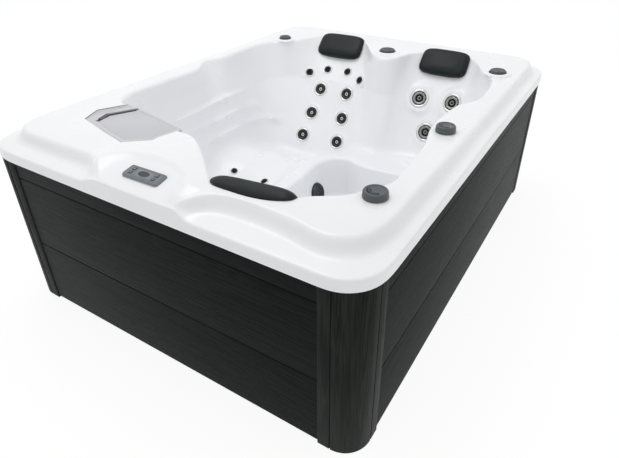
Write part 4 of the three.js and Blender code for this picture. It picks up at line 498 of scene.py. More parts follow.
@dataclass(frozen=True)
class Pleats:
    """The cartridge's pleated paper, darker where its folds sink as painted shade in the pleats."""

    name: str = "filter_paper"
    colour: str = "e4e7e8"
    roughness: float = 0.85
    stretch: Place = (1.0, 1.0, 0.02)
    fold_scale: float = 300.0
    fold_shade_ends: Point = (0.3, 0.7)
    depth: float = 0.002

    def material(self) -> Material:
        """Builds the material."""
        recipe = Recipe(self.name)
        fold = recipe.noise(recipe.place(self.stretch), self.fold_scale, 1)
        paper = linear(self.colour)
        # Painted shade: the paper darkens where the folds' bump sinks.
        colour = recipe.mixed(fold.between(*self.fold_shade_ends), shaded(paper, -0.2), paper)
        return recipe.finish(
            Base_Color=colour, Roughness=self.roughness, Normal=recipe.bump(fold, self.depth),
        )


class Finishes:
    """Every finish of the tub, built once."""

    def __init__(self) -> None:
        """Builds the materials."""

        def moulded(name: str, colour: str, roughness: float, **more: float) -> Material:
            """A moulded finish."""
            return Moulding(name, colour, roughness, **more).material()

        soft = {"drift": 0.08, "grain_scale": 2200, "grain_depth": 0.00005}
        self.acrylic = Acrylic().material()
        self.steel = moulded(
            "polished_steel", "dcdedc", 0.16, metallic=1.0, drift=0.06, drift_scale=60)
        self.steel_dark = moulded(
            "satin_steel", "8b8f8b", 0.3, metallic=1.0, drift=0.12, drift_scale=60)
        self.jet_black = moulded("jet_black_plastic", "1c1f20", 0.32, grain_scale=900)
        self.slate = moulded("slate_plastic", "4c5255", 0.38, **soft)
        self.slate_dark = moulded("slate_plastic_dark", "3a4144", 0.42, **soft)
        self.screen = moulded(
            "display_glass", "14181a", 0.2, coat=0.2, drift=0.1, drift_scale=30)
        self.case = moulded("panel_case", "747d82", 0.3, drift=0.2, drift_scale=60)
        # The panel glass's light grey and its large light patches are painted glare, a painted
        # reflection; the filter slot's ledge takes this grey as painted shade.
        self.glass = moulded("panel_glass", "7d868b", 0.24, drift=0.28, drift_scale=70)
        self.rubber = moulded(
            "button_rubber", "4a4f52", 0.55, grain_scale=1800, grain_depth=0.00006)
        self.mark = moulded("printed_mark", "b9bdbf", 0.5)
        self.pale = moulded("pale_plastic", "cdccd0", 0.34, drift=0.02, drift_scale=8)
        self.lid = moulded("lid_plastic", "c9cace", 0.36, drift=0.025, drift_scale=8)
        self.suction = moulded("suction_plastic", "2b3538", 0.36, drift=0.12)
        self.pipe = moulded("pipe_plastic", "dcdcd8", 0.4, drift=0.04)
        self.tray = moulded(
            "tray_plastic", "1d1e1f", 0.6, drift=0.15, grain_scale=500, grain_depth=0.0002)
        self.pump = moulded(
            "pump_casting", "33373b", 0.5, drift=0.12, grain_scale=700, grain_depth=0.0002)
        self.pack = moulded(
            "pack_plastic", "3a3e42", 0.5, drift=0.08, grain_scale=900, grain_depth=0.0001)
        self.timber = Woodgrain(
            "sawn_timber", Grain.UPRIGHT, "b8976a", "8d6f47", depth=0.0006, roughness=0.8,
        ).material()
        self.paper = Pleats().material()
        self.foam = FoamSkin().material()


class Bench:
    """Blender's modelling operators, with everything else put aside first."""

    @staticmethod
    def clear() -> None:
        """Leaves edit mode and selects nothing."""
        if bpy.context.object and bpy.context.object.mode != "OBJECT":
            bpy.ops.object.mode_set(mode="OBJECT")
        bpy.ops.object.select_all(action="DESELECT")

    @staticmethod
    def hold(piece: Piece) -> None:
        """Makes a piece the only one selected and the active one."""
        Bench.clear()
        piece.select_set(True)
        bpy.context.view_layer.objects.active = piece

    @staticmethod
    @contextmanager
    def editing(piece: Piece) -> Iterator[None]:
        """Holds a piece in edit mode with all of it selected, and leaves edit mode after."""
        Bench.hold(piece)
        bpy.ops.object.mode_set(mode="EDIT")
        bpy.ops.mesh.select_all(action="SELECT")
        yield
        bpy.ops.object.mode_set(mode="OBJECT")

    @staticmethod
    def new(name: str, mesh: bpy.types.Mesh) -> Piece:
        """A new piece of a mesh, both with one name."""
        piece = bpy.data.objects.new(name, mesh)
        mesh.name = piece.name
        bpy.context.collection.objects.link(piece)
        return piece

    @staticmethod
    def chain(name: str, points: Sequence[Sequence[float]], closed: bool) -> Piece:
        """Draws a row of edges, point by point.

        Args:
            name: The new object's name.
            points: The points, in metres.
            closed: Whether the last point joins the first.

        Returns:
            The object, in edit mode with all selected.
        """
        Bench.clear()
        bpy.ops.mesh.primitive_plane_add(size=1.0, location=(0.0, 0.0, 0.0))
        piece = bpy.context.object
        piece.name = piece.data.name = name
        bpy.ops.object.mode_set(mode="EDIT")
        bpy.ops.mesh.select_mode(type="VERT")
        bpy.ops.mesh.merge(type="CENTER")
        bpy.ops.transform.translate(value=tuple(points[0]))
        for before, after in zip(points, points[1:]):
            step = tuple(Vector(after) - Vector(before))
            bpy.ops.mesh.extrude_vertices_move(TRANSFORM_OT_translate={"value": step})
        bpy.ops.mesh.select_all(action="SELECT")
        if closed:
            bpy.ops.mesh.edge_face_add()
        return piece

    @staticmethod
    def turned(
        name: str, profile: Sequence[Point], sides: int, closed: bool = False,
        angle: float = math.tau,
    ) -> Piece:
        """Spins a profile of radius and height about the Z axis.

        Args:
            name: The new object's name.
            profile: Radius and height of each point, in metres.
            sides: How many steps the turn has.
            closed: Whether the profile is a closed loop away from the axis.
            angle: How far it is spun.

        Returns:
            The object, out of edit mode.
        """
        points = [(radius, 0.0, height) for radius, height in profile]
        piece = Bench.chain(name, points + points[:1] if closed else points, False)
        bpy.ops.mesh.remove_doubles(threshold=WELD_TURNED)
        bpy.ops.mesh.spin(steps=sides, angle=angle, center=(0, 0, 0), axis=(0, 0, 1))
        bpy.ops.mesh.select_all(action="SELECT")
        bpy.ops.mesh.remove_doubles(threshold=WELD_TURNED)
        if angle < math.tau:
            bpy.ops.mesh.fill_holes(sides=0)
            bpy.ops.mesh.select_all(action="SELECT")
        bpy.ops.mesh.normals_make_consistent(inside=False)
        bpy.ops.object.mode_set(mode="OBJECT")
        return piece

    @staticmethod
    def prism(name: str, outline: Sequence[Point], bottom: float, top: float) -> Piece:
        """Extrudes an outline in X and Y from one height to another."""
        piece = Bench.chain(name, [(x, y, bottom) for x, y in outline], True)
        bpy.ops.mesh.extrude_region_move(TRANSFORM_OT_translate={"value": (0, 0, top - bottom)})
        bpy.ops.mesh.select_all(action="SELECT")
        bpy.ops.mesh.normals_make_consistent(inside=False)
        bpy.ops.object.mode_set(mode="OBJECT")
        return piece

    @staticmethod
    def slab(name: str, middle: Sequence[float], size: Sequence[float]) -> Piece:
        """A block to cut with or to shape on."""
        Bench.clear()
        bpy.ops.mesh.primitive_cube_add(size=1.0, location=tuple(middle), scale=tuple(size))
        piece = bpy.context.object
        piece.name = piece.data.name = name
        bpy.ops.object.transform_apply(location=True, rotation=True, scale=True)
        return piece

    @staticmethod
    def apply(piece: Piece, kind: str, **settings: object) -> None:
        """Adds a modifier to a piece and applies it."""
        Bench.hold(piece)
        modifier = piece.modifiers.new(kind.lower(), kind)
        for key, setting in settings.items():
            setattr(modifier, key, setting)
        bpy.ops.object.modifier_apply(modifier=modifier.name)

    @staticmethod
    def bevelled(piece: Piece, width: float, segments: int = 2, angle: float = 30.0) -> Piece:
        """Rounds a piece's edges that are sharper than an angle."""
        Bench.apply(
            piece, "BEVEL", width=width, segments=segments, limit_method="ANGLE",
            angle_limit=math.radians(angle), use_clamp_overlap=True,
        )
        return piece

    @staticmethod
    def cut(piece: Piece, tool: Piece, keep: bool = False) -> None:
        """Takes a tool's form out of a piece, or keeps only what both hold."""
        operation = "INTERSECT" if keep else "DIFFERENCE"
        Bench.apply(piece, "BOOLEAN", object=tool, operation=operation, solver="EXACT")
        bpy.data.objects.remove(tool)

    @staticmethod
    def joined(pieces: Sequence[Piece]) -> Piece:
        """Joins pieces into the first of them."""
        Bench.clear()
        for piece in pieces:
            piece.select_set(True)
        bpy.context.view_layer.objects.active = pieces[0]
        if len(pieces) > 1:
            bpy.ops.object.join()
        return pieces[0]

    @staticmethod
    def placed(piece: Piece, frame: Matrix) -> Piece:
        """Puts a piece where a frame says and keeps its place in its mesh."""
        Bench.hold(piece)
        piece.matrix_world = frame
        bpy.ops.object.transform_apply(location=True, rotation=True, scale=True)
        return piece

    @staticmethod
    def again(piece: Piece, name: str, frame: Matrix) -> Piece:
        """A copy of a piece with its own mesh, put where a frame says."""
        return Bench.placed(Bench.new(name, piece.data.copy()), frame)

    @staticmethod
    def softened(piece: Piece, width: float, segments: int = 2, degrees: float = 40.0) -> Piece:
        """Rounds a piece's edges and shades it smooth up to an angle."""
        return Bench.smoothed(Bench.bevelled(piece, width, segments), degrees)

    @staticmethod
    def smoothed(piece: Piece, degrees: float) -> Piece:
        """Shades a piece smooth up to an angle."""
        Bench.hold(piece)
        bpy.ops.object.shade_smooth_by_angle(angle=math.radians(degrees))
        return piece


def rounded(points: Sequence[Point], radius: float, steps: int) -> list[Point]:
    """Rounds a profile's inner corners.

    Args:
        points: The corners, of which the first and last stay.
        radius: How far from a corner its curve starts, where there is room.
        steps: How many edges each curve has.

    Returns:
        The points of the rounded profile.
    """
    result = [tuple(points[0])]
    for before, here, after in zip(points, points[1:], points[2:]):
        corner = Vector(here)
        back, on = Vector(before) - corner, Vector(after) - corner
        run = min(radius, 0.45 * back.length, 0.45 * on.length)
        start, end = corner + back.normalized() * run, corner + on.normalized() * run
        for step in range(steps + 1):
            part = step / steps
            result.append(tuple(start.lerp(corner, part).lerp(corner.lerp(end, part), part)))
    result.append(tuple(points[-1]))
    return result


def band(line: Sequence[Vector], half: float) -> list[Point]:
    """The outline of a strip along a line.

    Args:
        line: The line's points.
        half: Half the strip's width.

    Returns:
        The strip's corners, up one side and down the other.
    """
    left: list[Point] = []
    right: list[Point] = []
    for index, here in enumerate(line):
        into = (here - line[max(index - 1, 0)]).normalized()
        out = (line[min(index + 1, len(line) - 1)] - here).normalized()
        along = (into + out).normalized()
        across = Vector((-along.y, along.x)) * half
        left.append(tuple(here + across))
        right.append(tuple(here - across))
    return left + right[::-1]


def around(radius: float, angle: float) -> Point:
    """A point on a circle, at an angle in radians."""
    return radius * math.cos(angle), radius * math.sin(angle)


def stem(radius: float, length: float) -> list[Point]:
    """The start of a turned profile: a stem that goes down from the seat."""
    return [(0.0, -length), (radius, -length), (radius, 0.0)]


def rounded_box(half_x: float, half_y: float, radius: float, steps: int) -> list[Point]:
    """The outline of a box with round corners, anticlockwise.

    Args:
        half_x: Half its width.
        half_y: Half its length.
        radius: The radius of its corners.
        steps: How many edges each corner has.

    Returns:
        The outline's points.
    """
    points = []
    for corner, (x, y) in enumerate([(1, 1), (-1, 1), (-1, -1), (1, -1)]):
        for step in range(steps + 1):
            across, along = around(radius, (corner + step / steps) * QUARTER)
            points.append((x * (half_x - radius) + across, y * (half_y - radius) + along))
    return points


@dataclass(frozen=True)
class Seat:
    """Where a fitting sits: a point on the surface, and the axis out of it."""

    point: Vector
    axis: Vector

    @classmethod
    def at(cls, point: Sequence[float], axis: Sequence[float]) -> Seat:
        """A seat from plain numbers, its axis made one long."""
        return cls(Vector(point), Vector(axis).normalized())

    def frame(self, beside: Vector = UP) -> Matrix:
        """The frame with +Z along the axis and +X square to another direction."""
        level = beside.cross(self.axis)
        level = level.normalized() if level.length > 1e-4 else Vector((1.0, 0.0, 0.0))
        across = self.axis.cross(level)
        turn = Matrix((level, across, self.axis)).transposed().to_4x4()
        return Matrix.Translation(self.point) @ turn


class Frame:
    """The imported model: its joints, nodes and seats."""

    def __init__(self) -> None:
        """Loads the model and keeps its box."""
        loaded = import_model()
        self.nodes: dict[str, Piece] = loaded["nodes"]
        self.joints: dict[str, dict] = {joint["child"]: joint for joint in loaded["joints"]}
        self.cad_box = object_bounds()

    def seat(self, body: str) -> Seat:
        """The seat of a turning body, from its joint."""
        joint = self.joints[body]
        return Seat.at(joint["pos_m"], joint["axis"])

    def dress(self, node: str, finish: Material) -> None:
        """Gives a CAD node that stays its finish."""
        materials = self.nodes[node].data.materials
        materials.clear()
        materials.append(finish)

    def form(self, node: str, name: str, flat: float = 0.0) -> Piece:
        """A copy of a CAD node's form, its corners joined, and its faces too up to an angle."""
        piece = Bench.new(name, self.nodes[node].data.copy())
        with Bench.editing(piece):
            bpy.ops.mesh.remove_doubles(threshold=WELD)
            if flat:
                bpy.ops.mesh.dissolve_limited(angle_limit=math.radians(flat))
        return piece

    def refined(
        self, node: str, finish: Material, slot: str, bevel: float, body: str = "tub",
    ) -> None:
        """Replaces a node by its own form with rounded edges.

        Args:
            node: The CAD node.
            finish: The new piece's material.
            slot: The record's material slot.
            bevel: How far its edges are rounded, in metres.
            body: The body that it rides on.
        """
        piece = self.form(node, f"{node}_dressed", FLAT_DEGREES)
        if bevel:
            Bench.bevelled(piece, bevel)
        Bench.smoothed(piece, 32.0)
        self.fitted(piece, finish, slot, body, node)

    def fitted(
        self, piece: Piece, finish: Material, slot: str, body: str,
        *nodes: str, at: Matrix | None = None,
    ) -> None:
        """Gives a piece what it needs to stand in the model.

        Args:
            piece: The piece.
            finish: Its material.
            slot: The record's material slot, which is not used.
            body: The body that it rides on.
            nodes: The CAD nodes that it stands for.
            at: Where it is put first, if it isn't in its place yet.
        """
        if at is not None:
            Bench.placed(piece, at)
        piece.data.materials.clear()
        piece.data.materials.append(finish)
        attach(piece, body)
        if nodes:
            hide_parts(*nodes)
        LOG.info("%s: %d faces on %s", piece.name, len(piece.data.polygons), body)


@dataclass
class Maker:
    """What makes one group of pieces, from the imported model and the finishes."""

    frame: Frame
    finishes: Finishes


def smoothstep(value: np.ndarray, low: float, high: float) -> np.ndarray:
    """How far a value has gone from low to high, from 0 to 1, with soft ends."""
    part = np.clip((value - low) / (high - low), 0.0, 1.0)
    return part * part * (3.0 - 2.0 * part)


class Ring:
    """A closed ring round the footwell's middle, read by its angle from there."""

    def __init__(self, points: np.ndarray, centre: np.ndarray) -> None:
        """Keeps the points and works out their angles.

        Args:
            points: Rows of x, y and z in metres, anticlockwise.
            centre: The footwell's middle.
        """
        self.offset = points[:, :2] - centre
        angles = np.unwrap(np.arctan2(self.offset[:, 1], self.offset[:, 0]))
        self.angles = np.maximum.accumulate(angles)
        self.heights = points[:, 2]

    @classmethod
    def through(
        cls, shares: Sequence[Sequence[float]], half: np.ndarray, centre: np.ndarray,
        low: float, high: float, steps: int,
    ) -> Ring:
        """A smooth ring through a table of shares, with centripetal spans.

        Args:
            shares: Shares of the half width and half length, and of the rise from low to high.
            half: The half width and half length.
            centre: The footwell's middle.
            low: The height at a rise of 0.
            high: The height at a rise of 1.
            steps: Points to each span.

        Returns:
            The ring.
        """
        rows = np.array([[*share, 1.0][:3] for share in shares], float)
        places = np.column_stack([rows[:, :2] * half, low + (high - low) * rows[:, 2]])
        before, after, beyond = (np.roll(places, by, 0) for by in (1, -1, -2))
        gap = np.sqrt(np.linalg.norm(after - places, axis=1))[:, None]
        gap_before, gap_after = np.roll(gap, 1, 0), np.roll(gap, -1, 0)
        slope_in, slope = (places - before) / gap_before, (after - places) / gap
        slope_out = (beyond - after) / gap_after
        leave = (slope_in - (after - before) / (gap_before + gap) + slope) * gap
        arrive = (slope - (beyond - places) / (gap + gap_after) + slope_out) * gap
        points = []
        for step in range(steps):
            part = step / steps
            cubic = 2 * places - 2 * after + leave + arrive
            square = -3 * places + 3 * after - 2 * leave - arrive
            points.append(((cubic * part + square) * part + leave) * part + places)
        return cls(np.stack(points, 1).reshape(-1, 3), centre)

    def at(self, angles: np.ndarray) -> tuple[np.ndarray, np.ndarray]:
        """How far out the ring lies at some angles, and its height there."""
        start = self.angles[0]
        turned = start + np.mod(angles - start, math.tau)
        below = np.searchsorted(self.angles, turned, side="right") - 1
        below = np.clip(below, 0, len(self.angles) - 1)
        above = (below + 1) % len(self.angles)
        near, far = self.offset[below], self.offset[above]
        side_near = near[:, 0] * np.sin(angles) - near[:, 1] * np.cos(angles)
        side_far = far[:, 0] * np.sin(angles) - far[:, 1] * np.cos(angles)
        gap = side_near - side_far
        part = np.where(gap == 0, 0.0, side_near / np.where(gap == 0, 1.0, gap))
        part = np.clip(part, 0.0, 1.0)
        place = near + (far - near) * part[:, None]
        height = self.heights[below] + (self.heights[above] - self.heights[below]) * part
        return np.hypot(place[:, 0], place[:, 1]), height


@dataclass(frozen=True)
class Corner:
    """A corner of the shell's section: reach and height at every station, and its fillet."""

    reach: np.ndarray
    height: np.ndarray
    radius: float
    steps: int
    after: int


@dataclass(frozen=True)
class Rib:
    """A raised rib on the side wall: three points along and up it."""

    along: Place
    up: Place
    rise: float = 0.013
    spread: float = 0.011
    fade: float = 0.09
    wall_ends: Point = (0.44, 0.5)

    def lift(self, points: np.ndarray) -> np.ndarray:
        """How far the rib raises the surface at some points."""
        curve = np.polyfit(self.along, self.up, 2)
        y, off = points[..., 1], points[..., 2] - np.polyval(curve, points[..., 1])
        low, _, high = self.along
        half = self.fade / 2
        window = smoothstep(y, low - half, low + half)
        window = window * (1 - smoothstep(y, high - half, high + half))
        wall = smoothstep(-points[..., 0], *self.wall_ends)
        return self.rise * np.exp(-(off / self.spread) ** 2) * window * wall


@dataclass
class Shell:
    """The moulded acrylic shell with its lip, deck, lounger, seats and footwell."""

    frame: Frame
    jets: Jets
    suction: SuctionCover
    width: float = 1.625
    length: float = 2.1
    deck_height: float = 0.757
    lip_depth: float = 0.093
    corner_radius: float = 0.128
    wall: float = 0.008
    lip_face: float = 0.038
    lip_draft: float = 0.003
    shelf_rise: float = 0.009
    cove_run: float = 0.024
    console_face_drop: float = 0.004
    console_blend: float = 0.034
    console_drop: float = 0.026
    floor_share: float = 0.1057
    foot_rest_share: float = 0.2008
    crest_share: float = 0.3791
    arm_hump_share: float = 0.4042
    wall_break_share: float = 0.7398
    footwell_draft: float = 0.042
    footwell_shares: tuple[float, float] = (0.246, 0.0)
    fillet_share: float = 0.48
    stations: int = 384
    even_share: float = 0.42
    table_steps: int = 4001
    span_steps: int = 16
    lip_steps: int = 24
    seat_gap: float = 0.0003
    running_gap: float = 0.0004
    overrun: float = 0.003
    stem_cut: float = 0.03
    stem_sides: int = 20
    smooth_rounds: int = 3
    control_radius: float = 0.034
    flat_shares: Point = (1.5, 1.8)
    flat_reach: Point = (0.010, 0.03)
    knob_stem: float = 0.016
    cap_stem: float = 0.012
    oval_middle: Point = (-0.036, -0.967)
    oval_half: Point = (0.165, 0.088)
    oval_rise: float = 0.009
    oval_climb: Point = (0.93, 1.06)
    oval_fall: Point = (1.1, 1.5)
    console_low: Point = (0.70, 0.72)
    console_back: Point = (0.78, 0.84)
    console_front: Point = (-1.035, -1.0)
    ribs: tuple[Rib, ...] = (
        Rib((-0.261, -0.007, 0.259), (0.549, 0.56, 0.547)),
        Rib((-0.185, 0.059, 0.341), (0.461, 0.474, 0.448)),
        Rib((-0.125, 0.131, 0.432), (0.381, 0.387, 0.345)),
    )

    def rings(self) -> dict[str, Ring]:
        """The rings that shape the shell."""
        half = np.array([self.width / 2, self.length / 2])
        centre = np.array(self.footwell_shares) * half
        deck = self.deck_height
        rest, hump = self.foot_rest_share * deck, self.arm_hump_share * deck
        crest, wall_break = self.crest_share * deck, self.wall_break_share * deck
        lip = rounded_box(*half, self.corner_radius, self.lip_steps)
        rings = {"lip": Ring(np.array([(*place, 0.0) for place in lip]), centre)}
        for name, shares, low, high in (
            ("rim", RIM_SHARES, deck - self.console_drop, deck),
            ("edge", EDGE_SHARES, deck, deck),
            ("wall", WALL_SHARES, wall_break, wall_break),
            ("foot", FOOT_SHARES, rest, hump),
            ("pan", PAN_SHARES, rest, hump),
            ("pan_front", PAN_FRONT_SHARES, rest, hump),
            ("crest_back", CREST_BACK_SHARES, crest, crest),
            ("crest_front", CREST_FRONT_SHARES, crest, crest),
        ):
            rings[name] = Ring.through(shares, half, centre, low, high, self.span_steps)
        return rings

    def station_angles(self, edge: Ring) -> np.ndarray:
        """Angles of the stations: part even, and part crowded where the deck's edge bends."""
        start = edge.angles[0]
        turn = np.linspace(0.0, 1.0, self.table_steps)
        angles = np.append(edge.angles, start + math.tau)
        even = np.linspace(0.0, 1.0, len(angles))
        share = np.interp(start + turn * math.tau, angles, even)
        table = self.even_share * turn + (1 - self.even_share) * share
        wanted = np.arange(self.stations) / self.stations
        return start + math.tau * np.interp(wanted, table, turn)

    def corners(self, rings: dict[str, Ring], angles: np.ndarray) -> list[Corner]:
        """The corners of the section at every station, from the lip in to the floor's middle."""
        at = {name: ring.at(angles) for name, ring in rings.items()}
        lip, edge, crest = (at[name][0] for name in ("lip", "edge", "crest_front"))
        rim, rim_height = at["rim"]
        deck = np.full_like(lip, self.deck_height)
        floor = np.full_like(lip, self.floor_share * self.deck_height)
        merged = 1 - smoothstep(lip - rim, self.console_blend / 2, self.console_blend * 2)
        bottom = np.full_like(lip, self.deck_height - self.lip_depth)
        top = bottom + self.lip_face
        merged_top = rim_height - self.console_face_drop
        lip_top = top + (merged_top - top) * merged
        shelf = top + self.shelf_rise
        shelf = shelf + ((merged_top + rim_height) / 2 - shelf) * merged
        cove = rim + self.cove_run * (1 - merged) + (lip - rim) / 2 * merged
        cove = np.minimum(cove, (rim + lip) / 2)
        at |= {
            "lip_bottom": (lip, bottom),
            "lip_top": (lip - self.lip_draft, lip_top),
            "cove": (cove, shelf),
            "deck": ((rim + edge) / 2, deck),
            "edge": (edge, deck),
            "floor": (crest - self.footwell_draft, floor),
            "middle": (np.zeros_like(lip), floor),
        }
        return [Corner(*at[name], *fillet) for name, fillet in FILLETS.items()]

    def section(self, corners: list[Corner]) -> np.ndarray:
        """Rounds the corners and divides what lies between.

        Args:
            corners: The section's corners.

        Returns:
            Reach and height, by station and row.
        """
        places = [np.column_stack([corner.reach, corner.height]) for corner in corners]
        runs: list[list[np.ndarray]] = []
        for index, corner in enumerate(corners):
            here = places[index]
            if corner.steps == 0:
                runs.append([here])
                continue
            before, after = places[index - 1] - here, places[index + 1] - here
            length_before, length_after = (
                np.linalg.norm(side, axis=1) for side in (before, after)
            )
            room = self.fillet_share * np.minimum(length_before, length_after)
            before, after = before / length_before[:, None], after / length_after[:, None]
            half = np.arccos(np.clip((before * after).sum(1), -1.0, 1.0)) / 2
            run = np.minimum(corner.radius / np.maximum(np.tan(half), 1e-9), room)[:, None]
            start, end = here + before * run, here + after * run
            curve = []
            for step in range(corner.steps + 1):
                part = step / corner.steps
                inner = start + (here - start) * part
                curve.append(inner + (here + (end - here) * part - inner) * part)
            runs.append(curve)
        rows = []
        for run, following, corner in zip(runs, runs[1:], corners):
            rows.extend(run)
            for step in range(1, corner.after + 1):
                rows.append(run[-1] + (following[0] - run[-1]) * (step / (corner.after + 1)))
        rows.extend(runs[-1])
        return np.stack(rows, 1)

    @staticmethod
    def normals(grid: np.ndarray) -> np.ndarray:
        """Unit normals of a grid that closes round, out of the surface."""
        along = np.roll(grid, -1, 0) - np.roll(grid, 1, 0)
        padded = np.concatenate([grid[:, :1], grid, grid[:, -1:]], 1)
        normal = -np.cross(padded[:, 2:] - padded[:, :-2], along)
        normal[:, -1] = (0.0, 0.0, 1.0)
        return normal / np.maximum(np.linalg.norm(normal, axis=2), 1e-12)[..., None]

    def seats(self) -> list[tuple[Seat, float]]:
        """The seats that the surface lies flat under, each with its radius."""
        result = [(self.suction.seat(), self.suction.radius)]
        for body in self.frame.joints:
            if body.startswith(("jet_", "diverter_", "air_cap_")):
                jet = body.startswith("jet_")
                radius = JetSize.of(body).value if jet else self.control_radius
                result.append((self.frame.seat(body), radius))
        return result

    def stems(self) -> list[tuple[Seat, float]]:
        """The seat of every fitting and the radius of the hole for its stem."""
        holes = self.jets.stems()
        holes.append((self.suction.seat(), self.suction.stem_radius + self.running_gap))
        for body in self.frame.joints:
            if body.startswith(("diverter_", "air_cap_")):
                radius = self.knob_stem if body.startswith("diverter_") else self.cap_stem
                holes.append((self.frame.seat(body), radius + self.running_gap))
        return holes

    def settled(self, grid: np.ndarray) -> np.ndarray:
        """Lays the surface flat under each round fitting, so that none stands off or sinks in."""
        result = grid.copy()
        for seat, radius in self.seats():
            offset = result - np.array(seat.point)
            axis = np.array(seat.axis)
            height = offset @ axis
            out = np.linalg.norm(offset - height[..., None] * axis, axis=2)
            part = 1 - smoothstep(out, *(radius * share for share in self.flat_shares))
            part = part * (1 - smoothstep(np.abs(height), *self.flat_reach))
            result += (part * (-self.seat_gap - height))[..., None] * axis
        return result

    def relief(self, grid: np.ndarray) -> np.ndarray:
        """How far the fine relief raises the surface: the wall's ribs and the panel's oval."""
        lift = sum(rib.lift(grid) for rib in self.ribs)
        x = (grid[..., 0] - self.oval_middle[0]) / self.oval_half[0]
        y = np.maximum(grid[..., 1] - self.oval_middle[1], 0.0) / self.oval_half[1]
        out = np.hypot(x, y)
        console = smoothstep(grid[..., 2], *self.console_low)
        console = console * smoothstep(-grid[..., 1], *self.console_back)
        console = console * smoothstep(grid[..., 1], *self.console_front)
        ridge = smoothstep(out, *self.oval_climb) * (1 - smoothstep(out, *self.oval_fall))
        return lift + self.oval_rise * console * ridge

    def grid(self) -> tuple[np.ndarray, np.ndarray]:
        """The top surface by station and row, and its normals."""
        rings = self.rings()
        angles = self.station_angles(rings["edge"])
        section = self.section(self.corners(rings, angles))
        centre = np.array(self.footwell_shares) * (self.width / 2, self.length / 2)
        grid = np.stack([
            centre[0] + section[..., 0] * np.cos(angles)[:, None],
            centre[1] + section[..., 0] * np.sin(angles)[:, None],
            section[..., 1],
        ], 2)
        for _ in range(self.smooth_rounds):
            grid = grid / 2 + (np.roll(grid, 1, 0) + np.roll(grid, -1, 0)) / 4
        grid = grid + self.normals(grid) * self.relief(grid)[..., None]
        grid = self.settled(grid)
        return grid, self.normals(grid)

    def sheet(self) -> Piece:
        """Builds the closed sheet, before its holes are cut."""
        grid, normals = self.grid()
        around, rows = grid.shape[:2]
        below = sorted({*range(0, rows - 1, 3), rows - 2})
        inward = -normals[:, below]
        inward[:, 0, 2] = 0.0
        inward[:, 0] /= np.linalg.norm(inward[:, 0], axis=1)[:, None]
        under = grid[:, below] + inward * self.wall
        middle = grid[0, -1]
        points = np.concatenate([
            grid[:, :-1].reshape(-1, 3), under.reshape(-1, 3), [middle, middle - (0, 0, self.wall)],
        ])
        top_index = np.arange(around * (rows - 1)).reshape(around, -1)
        under_index = top_index.size + np.arange(around * len(below)).reshape(around, -1)
        next_top, next_under = np.roll(top_index, -1, 0), np.roll(under_index, -1, 0)

        def quads(a: np.ndarray, b: np.ndarray, c: np.ndarray, d: np.ndarray) -> list[list[int]]:
            """Faces from four tables of corners."""
            return np.stack([a, b, c, d], -1).reshape(-1, 4).tolist()

        faces = quads(top_index[:, :-1], next_top[:, :-1], next_top[:, 1:], top_index[:, 1:])
        faces += quads(
            under_index[:, :-1], under_index[:, 1:], next_under[:, 1:], next_under[:, :-1])
        faces += quads(top_index[:, 0], under_index[:, 0], next_under[:, 0], next_top[:, 0])
        top_middle, under_middle = len(points) - 2, len(points) - 1
        tops = zip(top_index[:, -1].tolist(), next_top[:, -1].tolist())
        unders = zip(under_index[:, -1].tolist(), next_under[:, -1].tolist())
        faces += [[a, b, top_middle] for a, b in tops]
        faces += [[b, a, under_middle] for a, b in unders]
        mesh = bpy.data.meshes.new("acrylic_shell_dressed")
        mesh.from_pydata(points.tolist(), [], faces)
        mesh.update()
        return Bench.new("acrylic_shell_dressed", mesh)

    def cutters(self) -> list[Piece]:
        """Round cutters for the stems of every fitting."""
        tools = []
        low, high = -self.stem_cut, self.overrun
        for seat, radius in self.stems():
            profile = [(0.0, low), (radius, low), (radius, high), (0.0, high)]
            tool = Bench.turned("stem_cutter", profile, self.stem_sides)
            tools.append(Bench.placed(tool, seat.frame()))
        return tools

    def build(self, filter_bay: FilterBay, panel: Panel, finish: Material) -> None:
        """Builds the shell, cuts its holes and dresses it."""
        piece = self.sheet()
        tools = self.cutters() + [panel.cutter(), filter_bay.plate_cutter()]
        Bench.cut(piece, Bench.joined(tools))
        Bench.cut(piece, filter_bay.mouth_cutter())
        Bench.smoothed(piece, 65.0)
        Bench.apply(piece, "WEIGHTED_NORMAL", keep_sharp=True)
        self.frame.fitted(piece, finish, "acrylic", "tub", "acrylic_shell")


class JetSize(Enum):
    """The kinds of jet: face radius in metres."""

    NECK = 0.026
    ROW = 0.040
    MAIN = 0.050
    CALF = 0.021

    @classmethod
    def of(cls, body: str) -> JetSize:
        """The kind of a jet from its body's name."""
        kinds = {"neck": cls.NECK, "seat": cls.MAIN, "calf": cls.CALF}
        return kinds.get(body.split("_")[1], cls.ROW)


